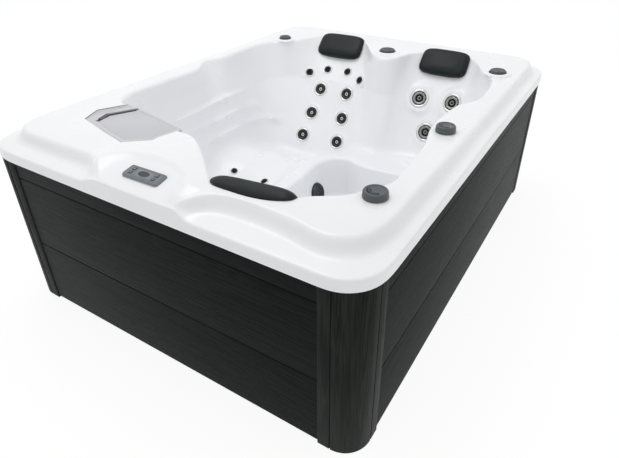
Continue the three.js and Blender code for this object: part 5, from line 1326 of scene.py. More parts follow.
@dataclass
class Jets(Maker):
    """The steel-faced jets: an escutcheon, a notched inner ring, a well and a nozzle."""

    stem_share: float = 0.46
    stem_length: float = 0.034
    stem_gap: float = 0.0005
    face_height: float = 0.007
    edge_height: float = 0.003
    boss_share: float = 1.48
    boss_rise: float = 0.0012
    boss_gap: float = 0.0006
    boss_sunk: float = 0.0008
    notch_count: int = 10
    notch_share: float = 0.075
    nozzle_tilt: float = 11.0
    sides: int = 48

    def bodies(self) -> list[str]:
        """The jets' bodies."""
        return [body for body in self.frame.joints if body.startswith("jet_")]

    def stems(self) -> list[tuple[Seat, float]]:
        """Each jet's seat and the radius of the hole for its stem."""
        return [
            (self.frame.seat(body), JetSize.of(body).value * self.stem_share + self.stem_gap)
            for body in self.bodies()
        ]

    def ring(
        self, name: str, profile: list[Point], bend: float, steps: int, sides: int, degrees: float,
    ) -> Piece:
        """A turned ring with rounded corners, shaded smooth up to an angle."""
        ring = Bench.turned(name, rounded(profile, bend, steps), sides, True)
        return Bench.smoothed(ring, degrees)

    def housing(self, radius: float) -> Piece:
        """The black plastic body with its stem and well."""
        height = self.face_height
        profile = stem(radius * self.stem_share, self.stem_length) + [
            (radius * 0.97, 0.0), (radius * 0.97, 0.0018), (radius * 0.8, height * 0.4),
            (radius * 0.62, height * 0.36), (radius * 0.42, height * 0.3), (radius * 0.4, -0.004),
            (radius * 0.36, -0.01), (radius * 0.2, -0.014), (0.0, -0.014),
        ]
        return Bench.smoothed(Bench.turned("jet_housing", profile, self.sides), 35)

    def escutcheon(self, radius: float) -> Piece:
        """The outer steel ring."""
        height = self.face_height
        return self.ring("jet_escutcheon", [
            (radius * 0.76, 0.001), (radius, 0.0), (radius, self.edge_height * 0.7),
            (radius * 0.95, height * 0.82), (radius * 0.86, height), (radius * 0.77, height * 0.72),
            (radius * 0.755, 0.001),
        ], 0.0016, 3, self.sides, 40)

    def inner_ring(self, radius: float) -> Piece:
        """The inner ring, notched round its edge where a hand turns it."""
        height = self.face_height
        profile = rounded([
            (radius * 0.42, height * 0.15), (radius * 0.69, height * 0.2),
            (radius * 0.68, height * 0.72), (radius * 0.6, height * 0.9),
            (radius * 0.46, height * 0.66), (radius * 0.415, height * 0.15),
        ], 0.0012, 2)
        ring = Bench.turned("jet_inner_ring", profile, self.sides, True)
        out = radius * self.notch_share
        tools = []
        for notch in range(self.notch_count):
            angle = notch * math.tau / self.notch_count
            tool = Bench.turned("notch", [(0.0, 0.0), (out, 0.0), (out, 0.02), (0.0, 0.02)], 10)
            middle = Vector((*around(1.0, angle), 0.0)) * radius * 0.69
            tools.append(Bench.placed(tool, Matrix.Translation(middle + UP * height * 0.3)))
        Bench.cut(ring, Bench.joined(tools))
        return Bench.smoothed(ring, 40)

    def nozzle(self, radius: float) -> Piece:
        """The eyeball nozzle: a short tube with a rolled mouth, tipped in its well."""
        out, high = radius * 0.25, self.face_height * 0.35
        piece = self.ring("jet_nozzle", [
            (out * 0.5, -0.012), (out * 0.95, -0.012), (out, -0.004), (out * 0.96, high * 0.7),
            (out * 0.82, high), (out * 0.58, high), (out * 0.45, high * 0.4), (out * 0.45, -0.0115),
        ], 0.0012, 3, 28, 45)
        return Bench.placed(piece, Matrix.Rotation(math.radians(self.nozzle_tilt), 4, "X"))

    def boss(self, radius: float) -> Piece:
        """The low round step that is moulded in the shell round a jet."""
        out, inside = radius * self.boss_share, radius + self.boss_gap
        return self.ring("jet_boss", [
            (inside, -self.boss_sunk), (inside, self.boss_rise),
            (out - 0.004, self.boss_rise), (out, -self.boss_sunk),
        ], 0.0015, 3, 64, 50)

    def build(self) -> None:
        """Builds one jet of each size and sets copies on their seats."""
        finishes = self.finishes
        for size in JetSize:
            nozzle, inner = {
                JetSize.MAIN: (finishes.steel_dark, finishes.steel_dark),
                JetSize.ROW: (finishes.steel, finishes.jet_black),
            }.get(size, (finishes.jet_black, finishes.jet_black))
            forms = [
                (self.housing(size.value), finishes.jet_black),
                (self.escutcheon(size.value), finishes.steel),
                (self.inner_ring(size.value), inner),
                (self.nozzle(size.value), nozzle),
                (self.boss(size.value), finishes.acrylic),
            ]
            for body in self.bodies():
                if JetSize.of(body) is size:
                    self.set_on_seat(body, forms)
            for form, _ in forms:
                bpy.data.objects.remove(form)

    def set_on_seat(self, body: str, forms: list[tuple[Piece, Material]]) -> None:
        """Sets a copy of each form on a jet's seat, the boss on the tub and the rest on the jet."""
        seat = self.frame.seat(body).frame()
        for form, finish in forms:
            part = form.name.split(".")[0].removeprefix("jet_")
            copy = Bench.again(form, f"{body}_{part}", seat)
            if part == "boss":
                self.frame.fitted(copy, finish, "acrylic", "tub")
            else:
                nodes = [body] if part == "housing" else []
                self.frame.fitted(copy, finish, "jet_steel", body, *nodes)


@dataclass
class SuctionCover(Maker):
    """The domed suction cover low on the footwell's wall, with its upright slats."""

    point: Place = (-0.03966, 0.08576, 0.14985)
    axis: Place = (0.96783, 0.09127, 0.23445)
    radius: float = 0.055
    rise: float = 0.034
    edge: float = 0.005
    dome_share: float = 0.955
    dome_steps: int = 12
    slat_foot: float = 0.002
    stem_radius: float = 0.025
    stem_length: float = 0.034
    slat_count: int = 9
    slat_width: float = 0.0045
    slat_proud: float = 0.0022

    def seat(self) -> Seat:
        """The cover's seat on the wall."""
        return Seat.at(self.point, self.axis)

    def dome(self, name: str, proud: float, solid: bool) -> Piece:
        """The cover's domed form.

        Args:
            name: The new object's name.
            proud: How far the dome is raised.
            solid: Whether it has the cover's rim and stem.

        Returns:
            The form.
        """
        reach = self.radius * self.dome_share
        profile = [(0.0, self.slat_foot), (reach + proud, self.slat_foot)]
        if solid:
            profile = stem(self.stem_radius, self.stem_length)
            profile += [(self.radius, 0.0), (self.radius, self.edge * 0.8)]
        for step in range(self.dome_steps):
            angle = step / self.dome_steps * QUARTER
            rise = (self.rise - self.edge) * math.sin(angle)
            profile.append((
                reach * math.cos(angle) + proud * math.cos(angle),
                self.edge + rise + proud * math.sin(angle),
            ))
        profile.append((0.0, self.rise + proud))
        return Bench.turned(name, profile, 40)

    def build(self) -> None:
        """Builds the dome and its slats."""
        seat = self.seat().frame()
        finish, slot = self.finishes.suction, "suction_plastic"
        dome = Bench.smoothed(self.dome("suction_dome", -self.slat_proud, True), 40)
        self.frame.fitted(dome, finish, slot, "tub", "suction_cover", at=seat)
        slabs = []
        pitch = 2 * self.radius / (self.slat_count + 1)
        for index in range(self.slat_count):
            across = (index - (self.slat_count - 1) / 2) * pitch
            slabs.append(Bench.slab("slat", (across, 0.0, 0.02), (self.slat_width, 0.12, 0.05)))
        slats = self.dome("suction_slats", 0.0, False)
        Bench.cut(slats, Bench.joined(slabs), keep=True)
        Bench.softened(slats, 0.0006)
        self.frame.fitted(slats, finish, slot, "tub", at=seat)


@dataclass(frozen=True)
class KnobShape:
    """A diverter knob's sizes, and which way its finger scoop looks."""

    body: str
    radius: float
    height: float
    scoop_from: float


@dataclass
class Knobs(Maker):
    """The two diverter knobs: a tapered skirt, a rolled shoulder and a crescent finger scoop."""

    shapes: tuple[KnobShape, ...] = (
        KnobShape("diverter_knob_side", 0.0375, 0.025, 321.0),
        KnobShape("diverter_knob_front", 0.0395, 0.023, 83.0),
    )
    stem_radius: float = 0.016
    stem_length: float = 0.04
    dish: float = 0.003
    scoop_share: float = 0.5
    scoop_thick_share: float = 0.17
    scoop_sweep: float = 145.0
    # The black crescent of painted shade in the scoop: its share of the scoop's thickness, and how
    # far below the scoop's top it sits.
    scoop_floor_share: float = 0.86
    scoop_floor_down: float = 0.0024
    mark_size: Place = (0.006, 0.0016, 0.0012)
    mark_angles: tuple[float, ...] = (-20.0, 2.0, 24.0)
    mark_share: float = 0.48

    def build(self) -> None:
        """Builds both knobs on their seats."""
        for shape in self.shapes:
            radius, height, body = shape.radius, shape.height, shape.body
            profile = stem(self.stem_radius, self.stem_length) + rounded([
                (self.stem_radius + 0.001, 0.0), (radius, 0.0), (radius, height * 0.28),
                (radius * 0.985, height * 0.3), (radius * 0.965, height * 0.84),
                (radius * 0.87, height), (radius * 0.74, height),
                (radius * 0.68, height - self.dish * 0.8), (0.0, height - self.dish),
            ], 0.0022, 3)
            knob = Bench.turned(f"{body}_grip", profile, 64)
            Bench.cut(knob, self.scoop(shape))
            Bench.smoothed(knob, 35)
            seat = self.frame.seat(body).frame()
            self.frame.fitted(knob, self.finishes.slate, "grey_plastic", body, body, at=seat)
            # Painted shade in the finger scoop: a thinner black crescent set a little lower in it.
            floor = self.scoop(shape, self.scoop_floor_share, self.scoop_floor_down)
            floor.name = floor.data.name = f"{body}_scoop_floor"
            Bench.smoothed(floor, 40)
            self.frame.fitted(floor, self.finishes.jet_black, "grey_plastic", body, at=seat)
            marks = self.marks(shape)
            self.frame.fitted(marks, self.finishes.mark, "grey_plastic", body, at=seat)

    def scoop(self, shape: KnobShape, share: float = 1.0, down: float = 0.0) -> Piece:
        """A crescent to cut the finger scoop with, or a thinner one set lower, which is laid in the
        scoop as painted shade.
        """
        middle = shape.radius * self.scoop_share
        thick = shape.radius * self.scoop_thick_share * share
        loop = []
        for step in range(12):
            angle = step / 12 * math.tau
            loop.append((middle + thick * math.cos(angle), thick * 0.8 * math.sin(angle)))
        tool = Bench.turned("scoop", loop, 24, True, math.radians(self.scoop_sweep))
        turn = Matrix.Rotation(math.radians(shape.scoop_from), 4, "Z")
        up = UP * (shape.height - self.dish * 0.9 - down)
        return Bench.placed(tool, Matrix.Translation(up) @ turn)

    def marks(self, shape: KnobShape) -> Piece:
        """Three raised marks on the top that show how far the knob is turned."""
        bars = []
        for degrees in self.mark_angles:
            angle = math.radians(degrees)
            bar = Bench.bevelled(Bench.slab("tick", (0, 0, 0), self.mark_size), 0.0003)
            out = Vector((*around(1.0, angle), 0.0)) * shape.radius * self.mark_share
            place = Matrix.Translation(out + UP * (shape.height - self.dish * 0.92))
            bars.append(Bench.placed(bar, place @ Matrix.Rotation(angle, 4, "Z")))
        piece = Bench.joined(bars)
        piece.name = piece.data.name = f"{shape.body}_marks"
        return piece


@dataclass
class AirCaps(Maker):
    """The three low air caps on the deck, each in a moulded boss, over a hidden valve."""

    radii: tuple[tuple[str, float], ...] = (("left", 0.0335), ("middle", 0.0425), ("right", 0.040))
    height: float = 0.016
    dish: float = 0.002
    stem_radius: float = 0.012
    stem_length: float = 0.03
    bar_width: float = 0.006
    bar_height: float = 0.003
    boss_width: float = 0.024
    boss_rise: float = 0.0065
    boss_gap: float = 0.0008
    boss_sunk: float = 0.0002

    def build(self) -> None:
        """Builds the caps and the bosses round them."""
        fitted, finishes, height = self.frame.fitted, self.finishes, self.height
        for name, radius in self.radii:
            body = f"air_cap_{name}"
            seat = self.frame.seat(body).frame()
            profile = stem(self.stem_radius, self.stem_length) + rounded([
                (self.stem_radius + 0.001, 0.0), (radius, 0.0), (radius * 0.99, height * 0.55),
                (radius * 0.86, height), (radius * 0.7, height),
                (radius * 0.64, height - self.dish), (0.0, height - self.dish * 0.7),
            ], 0.0018, 3)
            cap = Bench.smoothed(Bench.turned(f"{body}_disc", profile, 56), 35)
            fitted(cap, finishes.slate_dark, "grey_plastic", body, body, at=seat)
            middle = (0, 0, height - self.dish * 0.6)
            bar = Bench.slab(f"{body}_bar", middle, (radius * 0.9, self.bar_width, self.bar_height))
            Bench.softened(bar, 0.0012, 3)
            fitted(bar, finishes.slate, "grey_plastic", body, at=seat)
            inside, out = radius + self.boss_gap, radius + self.boss_width
            boss = Bench.turned(f"{body}_boss", rounded([
                (inside, -self.boss_sunk), (inside, self.boss_rise * 0.8),
                (radius + self.boss_width * 0.4, self.boss_rise), (out, -self.boss_sunk),
            ], 0.004, 4), 64, True)
            fitted(Bench.smoothed(boss, 60), finishes.acrylic, "acrylic", "tub", at=seat)
            self.frame.dress(f"air_valve_{name}", finishes.pipe)


@dataclass
class Panel(Maker):
    """The control panel: a bevelled housing with a display and four buttons."""

    point: Place = (-0.01879, -0.96739, 0.74699)
    axis: Place = (-0.0122, -0.18493, 0.98268)
    width: float = 0.156
    length: float = 0.056
    rise: float = 0.007
    foot: float = 0.0022
    slope: float = 0.0036
    corner: float = 0.0094
    body_size: Place = (0.132, 0.040, 0.040)
    body_gap: float = 0.0008
    screen_size: Place = (0.066, 0.034, 0.003)
    screen_gap: float = 0.0006
    screen_floor: float = 0.0033
    window_half: Point = (0.024, 0.0125)
    button_out: float = 0.050
    button_up: float = 0.009
    button_size: Place = (0.015, 0.013, 0.0058)
    button_gap: float = 0.0008
    button_proud: float = 0.0016
    recess_floor: float = 0.0012
    recess_overrun: float = 0.006
    cut_deep: float = 0.030
    cut_high: float = 0.002

    def seat(self) -> Matrix:
        """The panel's frame on the console."""
        return Seat.at(self.point, self.axis).frame(TO_BACK)

    def cutter(self) -> Piece:
        """The form that the panel's body needs cut out of the console."""
        width, length = (size + self.body_gap for size in self.body_size[:2])
        middle = (0, 0, (self.cut_high - self.cut_deep) / 2)
        tool = Bench.slab("panel_cutter", middle, (width, length, self.cut_deep + self.cut_high))
        return Bench.placed(tool, self.seat())

    def housing(self) -> Piece:
        """The housing: a plate whose sides lean in, with a fine line, and its body below."""
        outline = rounded_box(self.width / 2, self.length / 2, self.corner, 4)
        plate = Bench.prism("panel_housing_dressed", outline, 0.0, self.foot)
        Bench.hold(plate)
        bpy.ops.object.mode_set(mode="EDIT")
        bpy.ops.mesh.select_mode(type="FACE")
        bpy.ops.mesh.select_all(action="DESELECT")
        bpy.ops.object.mode_set(mode="OBJECT")
        for face in plate.data.polygons:
            face.select = face.normal.z > 0.9
        bpy.ops.object.mode_set(mode="EDIT")
        line = [(0.0026, 0.0), (0.0005, -0.0008), (0.0012, 0.0), (0.0005, 0.0008)]
        for inset, depth in [(self.slope, self.rise - self.foot), *line]:
            bpy.ops.mesh.inset(thickness=inset, depth=depth)
        bpy.ops.object.mode_set(mode="OBJECT")
        for place in self.button_places():
            self.recess(plate, place, self.button_size, self.button_gap, self.recess_floor)
        floor = self.rise - self.screen_floor
        self.recess(plate, (0.0, 0.0), self.screen_size, self.screen_gap, floor)
        back = Bench.slab("panel_body", (0, 0, 0.0005 - self.body_size[2] / 2), self.body_size)
        return Bench.smoothed(Bench.joined([plate, back]), 35)

    def recess(
        self, plate: Piece, place: Point, size: Place, gap: float, floor: float,
    ) -> None:
        """Cuts a recess down from the housing's top, with a gap round what lies in it."""
        top = self.rise + self.recess_overrun
        middle = (*place, (floor + top) / 2)
        Bench.cut(plate, Bench.slab("recess", middle, (size[0] + gap, size[1] + gap, top - floor)))

    def button_places(self) -> list[Point]:
        """The middles of the four buttons."""
        return [
            (side * self.button_out, row * self.button_up) for side in (-1, 1) for row in (-1, 1)
        ]

    def build(self) -> None:
        """Builds the housing, the display and the buttons."""
        fitted, finishes, seat = self.frame.fitted, self.finishes, self.seat()
        fitted(self.housing(), finishes.case, "grey_plastic", "tub", "panel_housing", at=seat)
        middle = (0, 0, self.rise - self.screen_size[2] / 2)
        # The glass's light grey with patches is painted glare.
        glass = Bench.slab("panel_screen_glass", middle, self.screen_size)
        Bench.softened(glass, 0.0008, 3)
        fitted(glass, finishes.glass, "screen", "tub", "panel_screen", at=seat)
        window = Bench.turned("panel_screen_window", [
            (0.0, 0.0), (1.0, 0.0), (0.97, 0.0005), (0.0, 0.0007),
        ], 48)
        scale = Matrix.Diagonal((*self.window_half, 1.0, 1.0))
        Bench.placed(window, seat @ Matrix.Translation(UP * (self.rise - 0.0001)) @ scale)
        fitted(Bench.smoothed(window, 30), finishes.screen, "screen", "tub")
        names = ("left_lower", "left_upper", "right_lower", "right_upper")
        for name, place in zip(names, self.button_places()):
            self.button(f"button_{name}", place, seat)

    def button(self, body: str, place: Point, seat: Matrix) -> None:
        """One button with a raised generic mark, a long one above and a short one below."""
        top = self.rise + self.button_proud
        pad = Bench.slab(f"{body}_pad", (*place, top - self.button_size[2] / 2), self.button_size)
        Bench.softened(pad, 0.0014, 3, 45)
        fitted, finishes = self.frame.fitted, self.finishes
        fitted(pad, finishes.rubber, "button_rubber", body, body, at=seat)
        size = (0.0065 if place[1] > 0 else 0.0035, 0.0022, 0.0005)
        mark = Bench.bevelled(Bench.slab(f"{body}_mark", (*place, top + 0.0001), size), 0.0002)
        fitted(mark, finishes.mark, "button_rubber", body, at=seat)


@dataclass
class FilterBay(Maker):
    """The filter housing in the deck's corner, its lid and its cartridge."""

    place: Place = (-0.31249, -0.62496, 0.0)
    yaw: float = -12.0
    width: float = 0.421
    depth: float = 0.209
    deck_height: float = 0.757
    flange_drop: float = 0.002
    flange_thickness: float = 0.013
    chamber_width: float = 0.236
    sill_drop: float = 0.117
    gap: float = 0.0004
    seat_gap: float = 0.0003
    overrun: float = 0.003
    mitre_least: float = 0.48
    # The lid's slot is painted shade: a black strip along this line, and a mid-grey strip of lesser
    # painted shade over its outer half.
    slot_line: tuple[Point, ...] = ((-0.1642, -0.1594), (-0.1905, -0.1136), (-0.1549, 0.0001))
    slot_width: float = 0.020
    slot_half_shade: float = 0.009
    # Painted shadow: dark strips along the plate's outer edges, where the recess's wall shades
    # them.
    seal_lines: tuple[tuple[Point, ...], ...] = (
        ((-0.2073, -0.1975), (-0.2622, -0.1200), (-0.2292, -0.0050)),
        ((-0.1373, -0.2020), (0.0900, -0.2078)),
    )
    seal_width: float = 0.0022
    strip_sunk: float = 0.002
    strip_proud: float = 0.0004
    outline_shares: tuple[Point, ...] = (
        (-0.494, -0.95), (-0.084, -0.986), (0.223, -1.0), (0.375, -0.598), (0.359, -0.463),
        (0.363, -0.134), (0.354, 0.012), (-0.354, 0.012), (-0.546, -0.019), (-0.625, -0.574),
    )

    def matrix(self) -> Matrix:
        """The housing's frame."""
        turn = Matrix.Rotation(math.radians(self.yaw), 4, "Z")
        return Matrix.Translation(self.place) @ turn

    def grown(self) -> list[Point]:
        """The plate's outline, moved out by the gap round it."""
        points = [Vector((x * self.width, y * self.depth)) for x, y in self.outline_shares]
        result = []
        for index, here in enumerate(points):
            into = (here - points[index - 1]).normalized()
            out = (points[(index + 1) % len(points)] - here).normalized()
            bisector = Vector((into.y + out.y, -into.x - out.x)).normalized()
            run = self.gap / max(bisector.dot(Vector((into.y, -into.x))), self.mitre_least)
            result.append(tuple(here + bisector * run))
        return result

    def plate_cutter(self) -> Piece:
        """The form of the plate, to cut the deck with."""
        low = self.deck_height - self.flange_drop - self.flange_thickness - self.seat_gap
        tool = Bench.prism("plate_cutter", self.grown(), low, self.deck_height + self.overrun)
        return Bench.placed(tool, self.matrix())

    def mouth_cutter(self) -> Piece:
        """The form of the chamber's mouth, to cut the wall with."""
        low = self.deck_height - self.sill_drop - self.seat_gap
        high = self.deck_height - self.flange_drop - self.flange_thickness + self.overrun
        size = (self.chamber_width + 2 * self.gap, self.sill_drop, high - low)
        tool = Bench.slab("mouth_cutter", (0, 0, (low + high) / 2), size)
        return Bench.placed(tool, self.matrix())

    def build(self) -> None:
        """Dresses the housing, the lid and the cartridge, and lays strips of painted shade in the
        slot and painted shadow along the plate's outer edges.
        """
        frame, finishes = self.frame, self.finishes
        frame.refined("filter_housing", finishes.pale, "pale_plastic", 0.0007)
        frame.refined("filter_lid", finishes.lid, "pale_plastic", 0.0012, "filter_lid")
        frame.refined(
            "filter_cartridge", finishes.paper, "filter_pleats", 0.001, "filter_cartridge")
        face, shift = self.deck_height - self.flange_drop, self.slot_half_shade
        half_shade_line = [(x - shift / 2, y + shift / 6) for x, y in self.slot_line[1:]]
        # Painted shade in the slot's gap: a black strip, and a mid-grey one over its outer half.
        self.strip("slot_shadow", self.slot_line, self.slot_width, face, finishes.jet_black)
        self.strip("slot_half_shade", half_shade_line, self.slot_half_shade, face + 0.0003, finishes.glass)
        # Painted shadow along the plate's outer edges.
        for index, line in enumerate(self.seal_lines):
            self.strip(f"seal_{index}", line, self.seal_width, face + 0.0002, finishes.slate)

    def strip(
        self, name: str, line: Sequence[Point], width: float, face: float, finish: Material,
    ) -> None:
        """A thin strip laid along a line of the plate.

        Args:
            name: What it is, for the new piece's name.
            line: The line's points in the housing's frame.
            width: The strip's width.
            face: The height of the plate's face.
            finish: The strip's material.
        """
        outline = band([Vector(point) for point in line], width / 2)
        low, high = face - self.strip_sunk, face + self.strip_proud
        piece = Bench.bevelled(Bench.prism(f"filter_{name}", outline, low, high), 0.0002)
        self.frame.fitted(piece, finish, "pale_plastic", "tub", at=self.matrix())


@dataclass(frozen=True)
class PillowPlace:
    """Where a pillow lies, the axis out of it, and half its size each way."""

    name: str
    point: Place
    axis: Place
    half_width: float
    half_length: float


@dataclass
class Pillows(Maker):
    """The three head pillows: smooth crowned foam with blunt ends."""

    places: tuple[PillowPlace, ...] = (
        PillowPlace(
            "pillow_lounger", (-0.2933, 0.7820, 0.7139), (0.034, -0.675, 0.737), 0.140, 0.075),
        PillowPlace(
            "pillow_corner", (0.338, 0.7768, 0.7131), (0.005, -0.709, 0.705), 0.132, 0.074),
        PillowPlace("pillow_front", (0.334, -0.884, 0.7055), (-0.10, 0.87, 0.48), 0.156, 0.061),
    )
    voxel: float = 0.0035
    rounds: int = 22
    smooth_factor: float = 0.8
    round_power: float = 3.4
    square_power: float = 5.0

    def squared(self, piece: Piece, place: PillowPlace) -> None:
        """Moves a pillow's corners out, so that its ends look blunter."""
        turn = Seat.at(place.point, place.axis).frame()
        back = turn.inverted()
        for vertex in piece.data.vertices:
            here = back @ vertex.co
            u, v = abs(here.x / place.half_width), abs(here.y / place.half_length)
            round_out, square_out = (
                (u ** power + v ** power) ** (1 / power)
                for power in (self.round_power, self.square_power)
            )
            if square_out > 1e-6:
                here.x *= round_out / square_out
                here.y *= round_out / square_out
            vertex.co = turn @ here

    def build(self) -> None:
        """Swells each CAD pillow's form into a smooth crowned cushion."""
        for place in self.places:
            piece = self.frame.form(place.name, f"{place.name}_cushion")
            self.squared(piece, place)
            piece.data.remesh_voxel_size = self.voxel
            bpy.ops.object.voxel_remesh()
            Bench.apply(piece, "SMOOTH", factor=self.smooth_factor, iterations=self.rounds)
            Bench.apply(piece, "SUBSURF", levels=1, render_levels=1)
            bpy.ops.object.shade_smooth()
            self.frame.fitted(piece, self.finishes.foam, "pillow_foam", "tub", place.name)


@dataclass
class Cabinet(Maker):
    """The cabinet: three boards a side between grooved corner posts."""

    sides: tuple[tuple[str, Grain], ...] = (
        ("front", Grain.ACROSS), ("right", Grain.ALONG),
        ("back", Grain.ACROSS), ("left", Grain.ALONG),
    )
    rows: tuple[str, ...] = ("lower", "middle", "upper")
    posts: tuple[tuple[str, int, int], ...] = (
        ("front_right", 1, -1), ("back_right", 1, 1), ("back_left", -1, 1), ("front_left", -1, -1),
    )
    seed_step: float = 3.7
    board_bevel: float = 0.0012
    clad_x: float = 0.7985
    clad_y: float = 1.036
    post_radius: float = 0.095
    post_wall: float = 0.018
    post_strip: float = 0.046
    post_height: float = 0.662
    groove_width: float = 0.004
    groove_depth: float = 0.003
    arc_steps: int = 20

    def arc(self, radius: float) -> list[Point]:
        """A quarter round, anticlockwise from the front to the side."""
        angles = [(step / self.arc_steps - 1) * QUARTER for step in range(self.arc_steps + 1)]
        return [around(radius, angle) for angle in angles]

    def post_outline(self) -> list[Point]:
        """The front right post's outline: a quarter round, a strip each side, grooves between."""
        out, inside = self.post_radius, self.post_radius - self.post_wall
        grooved, strip, groove = out - self.groove_depth, self.post_strip, self.groove_width
        return [
            (-strip, -out), (-groove, -out), (-groove, -grooved), (0.0, -grooved),
            *self.arc(out),
            (grooved, 0.0), (grooved, groove), (out, groove), (out, strip), (inside, strip),
            *self.arc(inside)[::-1],
            (-strip, -inside),
        ]

    def build(self) -> None:
        """Dresses the boards and builds the posts."""
        seed = 0.0
        for side, grain in self.sides:
            for row in self.rows:
                seed += self.seed_step
                node = f"board_{side}_{row}"
                finish = Woodgrain(f"{node}_grain", grain, seed=seed).material()
                self.frame.refined(node, finish, "composite", self.board_bevel)
        finish = Woodgrain("post_grain", Grain.UPRIGHT, "2a2d29", "171a19", seed=5.0).material()
        post = Bench.prism("post_pattern", self.post_outline(), 0.0, self.post_height)
        Bench.smoothed(Bench.bevelled(post, 0.0008, 2, 40), 35)
        middle_x, middle_y = self.clad_x - self.post_radius, self.clad_y - self.post_radius
        for turn, (name, x, y) in enumerate(self.posts):
            middle = Matrix.Translation((x * middle_x, y * middle_y, 0.0))
            node = f"corner_post_{name}"
            at = middle @ Matrix.Rotation(turn * QUARTER, 4, "Z")
            copy = Bench.again(post, f"{node}_dressed", at)
            self.frame.fitted(copy, finish, "composite", "tub", node)
        bpy.data.objects.remove(post)


@dataclass
class Works(Maker):
    """What stands inside the cabinet and under it: tray, frame, pipes, pump, pack and drain."""

    def build(self) -> None:
        """Dresses each node in its own form, with rounded edges where it is moulded."""
        finishes = self.finishes
        for node, finish, slot, bevel, body in (
            ("base_tray", finishes.tray, "tray_plastic", 0.002, "tub"),
            ("support_frame", finishes.timber, "timber", 0.0, "tub"),
            ("circulation_pump", finishes.pump, "pump_metal", 0.0015, "tub"),
            ("control_pack", finishes.pack, "pack_plastic", 0.002, "tub"),
            ("pressure_plumbing", finishes.pipe, "pipe_plastic", 0.0, "tub"),
            ("suction_plumbing", finishes.pipe, "pipe_plastic", 0.0, "tub"),
            ("drain_cap", finishes.slate_dark, "grey_plastic", 0.0012, "drain_cap"),
        ):
            self.frame.refined(node, finish, slot, bevel, body)


@dataclass(frozen=True)
class Lamp:
    """A soft square lamp: its place, its size in metres and its power in watts."""

    name: str
    place: Place
    size: float
    power: float


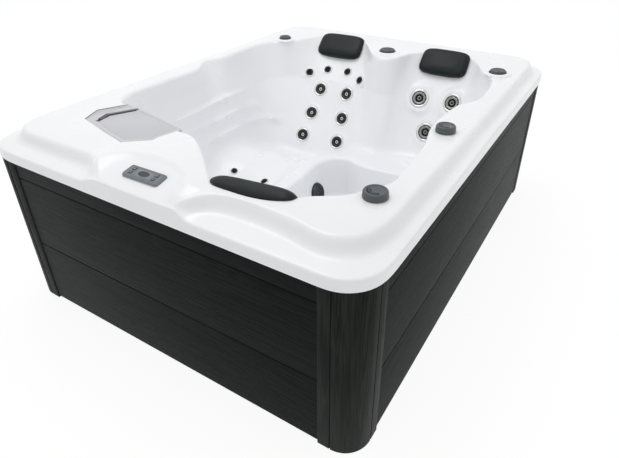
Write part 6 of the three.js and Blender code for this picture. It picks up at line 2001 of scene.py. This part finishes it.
@dataclass
class Studio:
    """The pale floor, the white surround, the soft lamps and the camera."""

    camera_place: Place = (1.1988, -1.8971, 1.5235)
    camera_yaw: float = 31.40
    camera_pitch: float = 30.96
    camera_roll: float = 0.03
    lens: float = 30.10
    sensor: float = 36.0
    shift: Point = (-0.0189, -0.0506)
    sight: float = 200.0
    surround: float = 0.685
    floor_size: float = 60.0
    floor_glow: float = 1.06
    floor_glow_share: float = 0.84
    aim: Place = (0.0, 0.0, 0.4)
    lamps: tuple[Lamp, ...] = (
        Lamp("key_softbox", (-1.0, -0.1, 4.3), 2.0, 39.0),
        Lamp("fill_softbox", (2.8, 1.6, 3.2), 2.8, 6.0),
    )

    def camera(self) -> None:
        """Sets the camera where the photograph was taken from."""
        data = bpy.data.cameras.new("camera")
        data.lens, data.sensor_width = self.lens, self.sensor
        data.shift_x, data.shift_y = self.shift
        data.clip_end = self.sight
        camera = bpy.data.objects.new("camera", data)
        bpy.context.scene.collection.objects.link(camera)
        camera.location = self.camera_place
        turn = (90 - self.camera_pitch, self.camera_roll, self.camera_yaw)
        camera.rotation_euler = [math.radians(angle) for angle in turn]
        bpy.context.scene.camera = camera

    @staticmethod
    def seen(tree: bpy.types.NodeTree) -> Socket:
        """1 for rays from the camera, also by way of gloss or glass, and 0 for all others."""
        path = tree.nodes.new("ShaderNodeLightPath")
        seen = path.outputs["Is Camera Ray"]
        for other in ("Is Glossy Ray", "Is Transmission Ray"):
            higher = tree.nodes.new("ShaderNodeMath")
            higher.operation = "MAXIMUM"
            tree.links.new(seen, higher.inputs[0])
            tree.links.new(path.outputs[other], higher.inputs[1])
            seen = higher.outputs[0]
        return seen

    def world(self) -> None:
        """Lights from all round at a plain level, and shows white where nothing stands."""
        world = bpy.data.worlds.new("surround")
        bpy.context.scene.world = world
        world.use_nodes = True
        tree = world.node_tree
        background = tree.nodes["Background"]
        background.inputs["Color"].default_value = (1.0, 1.0, 1.0, 1.0)
        level = tree.nodes.new("ShaderNodeMapRange")
        level.inputs["To Min"].default_value = self.surround
        tree.links.new(self.seen(tree), level.inputs["Value"])
        tree.links.new(level.outputs[0], background.inputs["Strength"])

    def floor(self) -> None:
        """A pale floor that shows white to the camera and keeps the shadow."""
        Bench.clear()
        bpy.ops.mesh.primitive_grid_add(x_subdivisions=8, y_subdivisions=8, size=self.floor_size)
        floor = bpy.context.object
        floor.name = floor.data.name = "floor"
        recipe = Recipe("floor_paper")
        tone = recipe.noise(recipe.place(), 2.0, 4)
        colour = recipe.mixed(tone, (0.93, 0.93, 0.93), (0.96, 0.96, 0.96))
        recipe.finish(Base_Color=colour, Roughness=0.9)
        light = {"Color": (1.0, 1.0, 1.0), "Strength": self.floor_glow}
        glow = recipe.node("ShaderNodeEmission", None, light)
        share = Value(recipe, self.seen(recipe.tree)) * self.floor_glow_share
        inputs = {0: share, 1: recipe.shader.outputs[0], 2: glow.outputs[0]}
        mix = recipe.node("ShaderNodeMixShader", None, inputs)
        recipe.feed(recipe.output.inputs["Surface"], mix.outputs[0])
        floor.data.materials.append(recipe.material)
        floor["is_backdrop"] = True

    def light(self, lamp: Lamp) -> None:
        """Hangs a lamp that looks at the tub."""
        data = bpy.data.lights.new(lamp.name, "AREA")
        data.shape, data.size, data.energy = "SQUARE", lamp.size, lamp.power
        piece = bpy.data.objects.new(lamp.name, data)
        bpy.context.scene.collection.objects.link(piece)
        piece.location = lamp.place
        way = Vector(self.aim) - Vector(lamp.place)
        piece.rotation_euler = way.to_track_quat("-Z", "Y").to_euler()

    def build(self) -> None:
        """Sets up the studio."""
        self.camera()
        self.world()
        self.floor()
        for lamp in self.lamps:
            self.light(lamp)
        bpy.context.scene.view_settings.view_transform = "Standard"


def main() -> None:
    """Builds the tub in order."""
    logging.basicConfig(level=logging.INFO, format="%(message)s")
    frame = Frame()
    finishes = Finishes()
    Studio().build()
    jets, suction, panel, filter_bay = (
        maker(frame, finishes) for maker in (Jets, SuctionCover, Panel, FilterBay)
    )
    Shell(frame, jets, suction).build(filter_bay, panel, finishes.acrylic)
    jets.build()
    suction.build()
    Knobs(frame, finishes).build()
    AirCaps(frame, finishes).build()
    panel.build()
    filter_bay.build()
    for maker in (Pillows, Cabinet, Works):
        maker(frame, finishes).build()


if __name__ == "__main__":
    main()
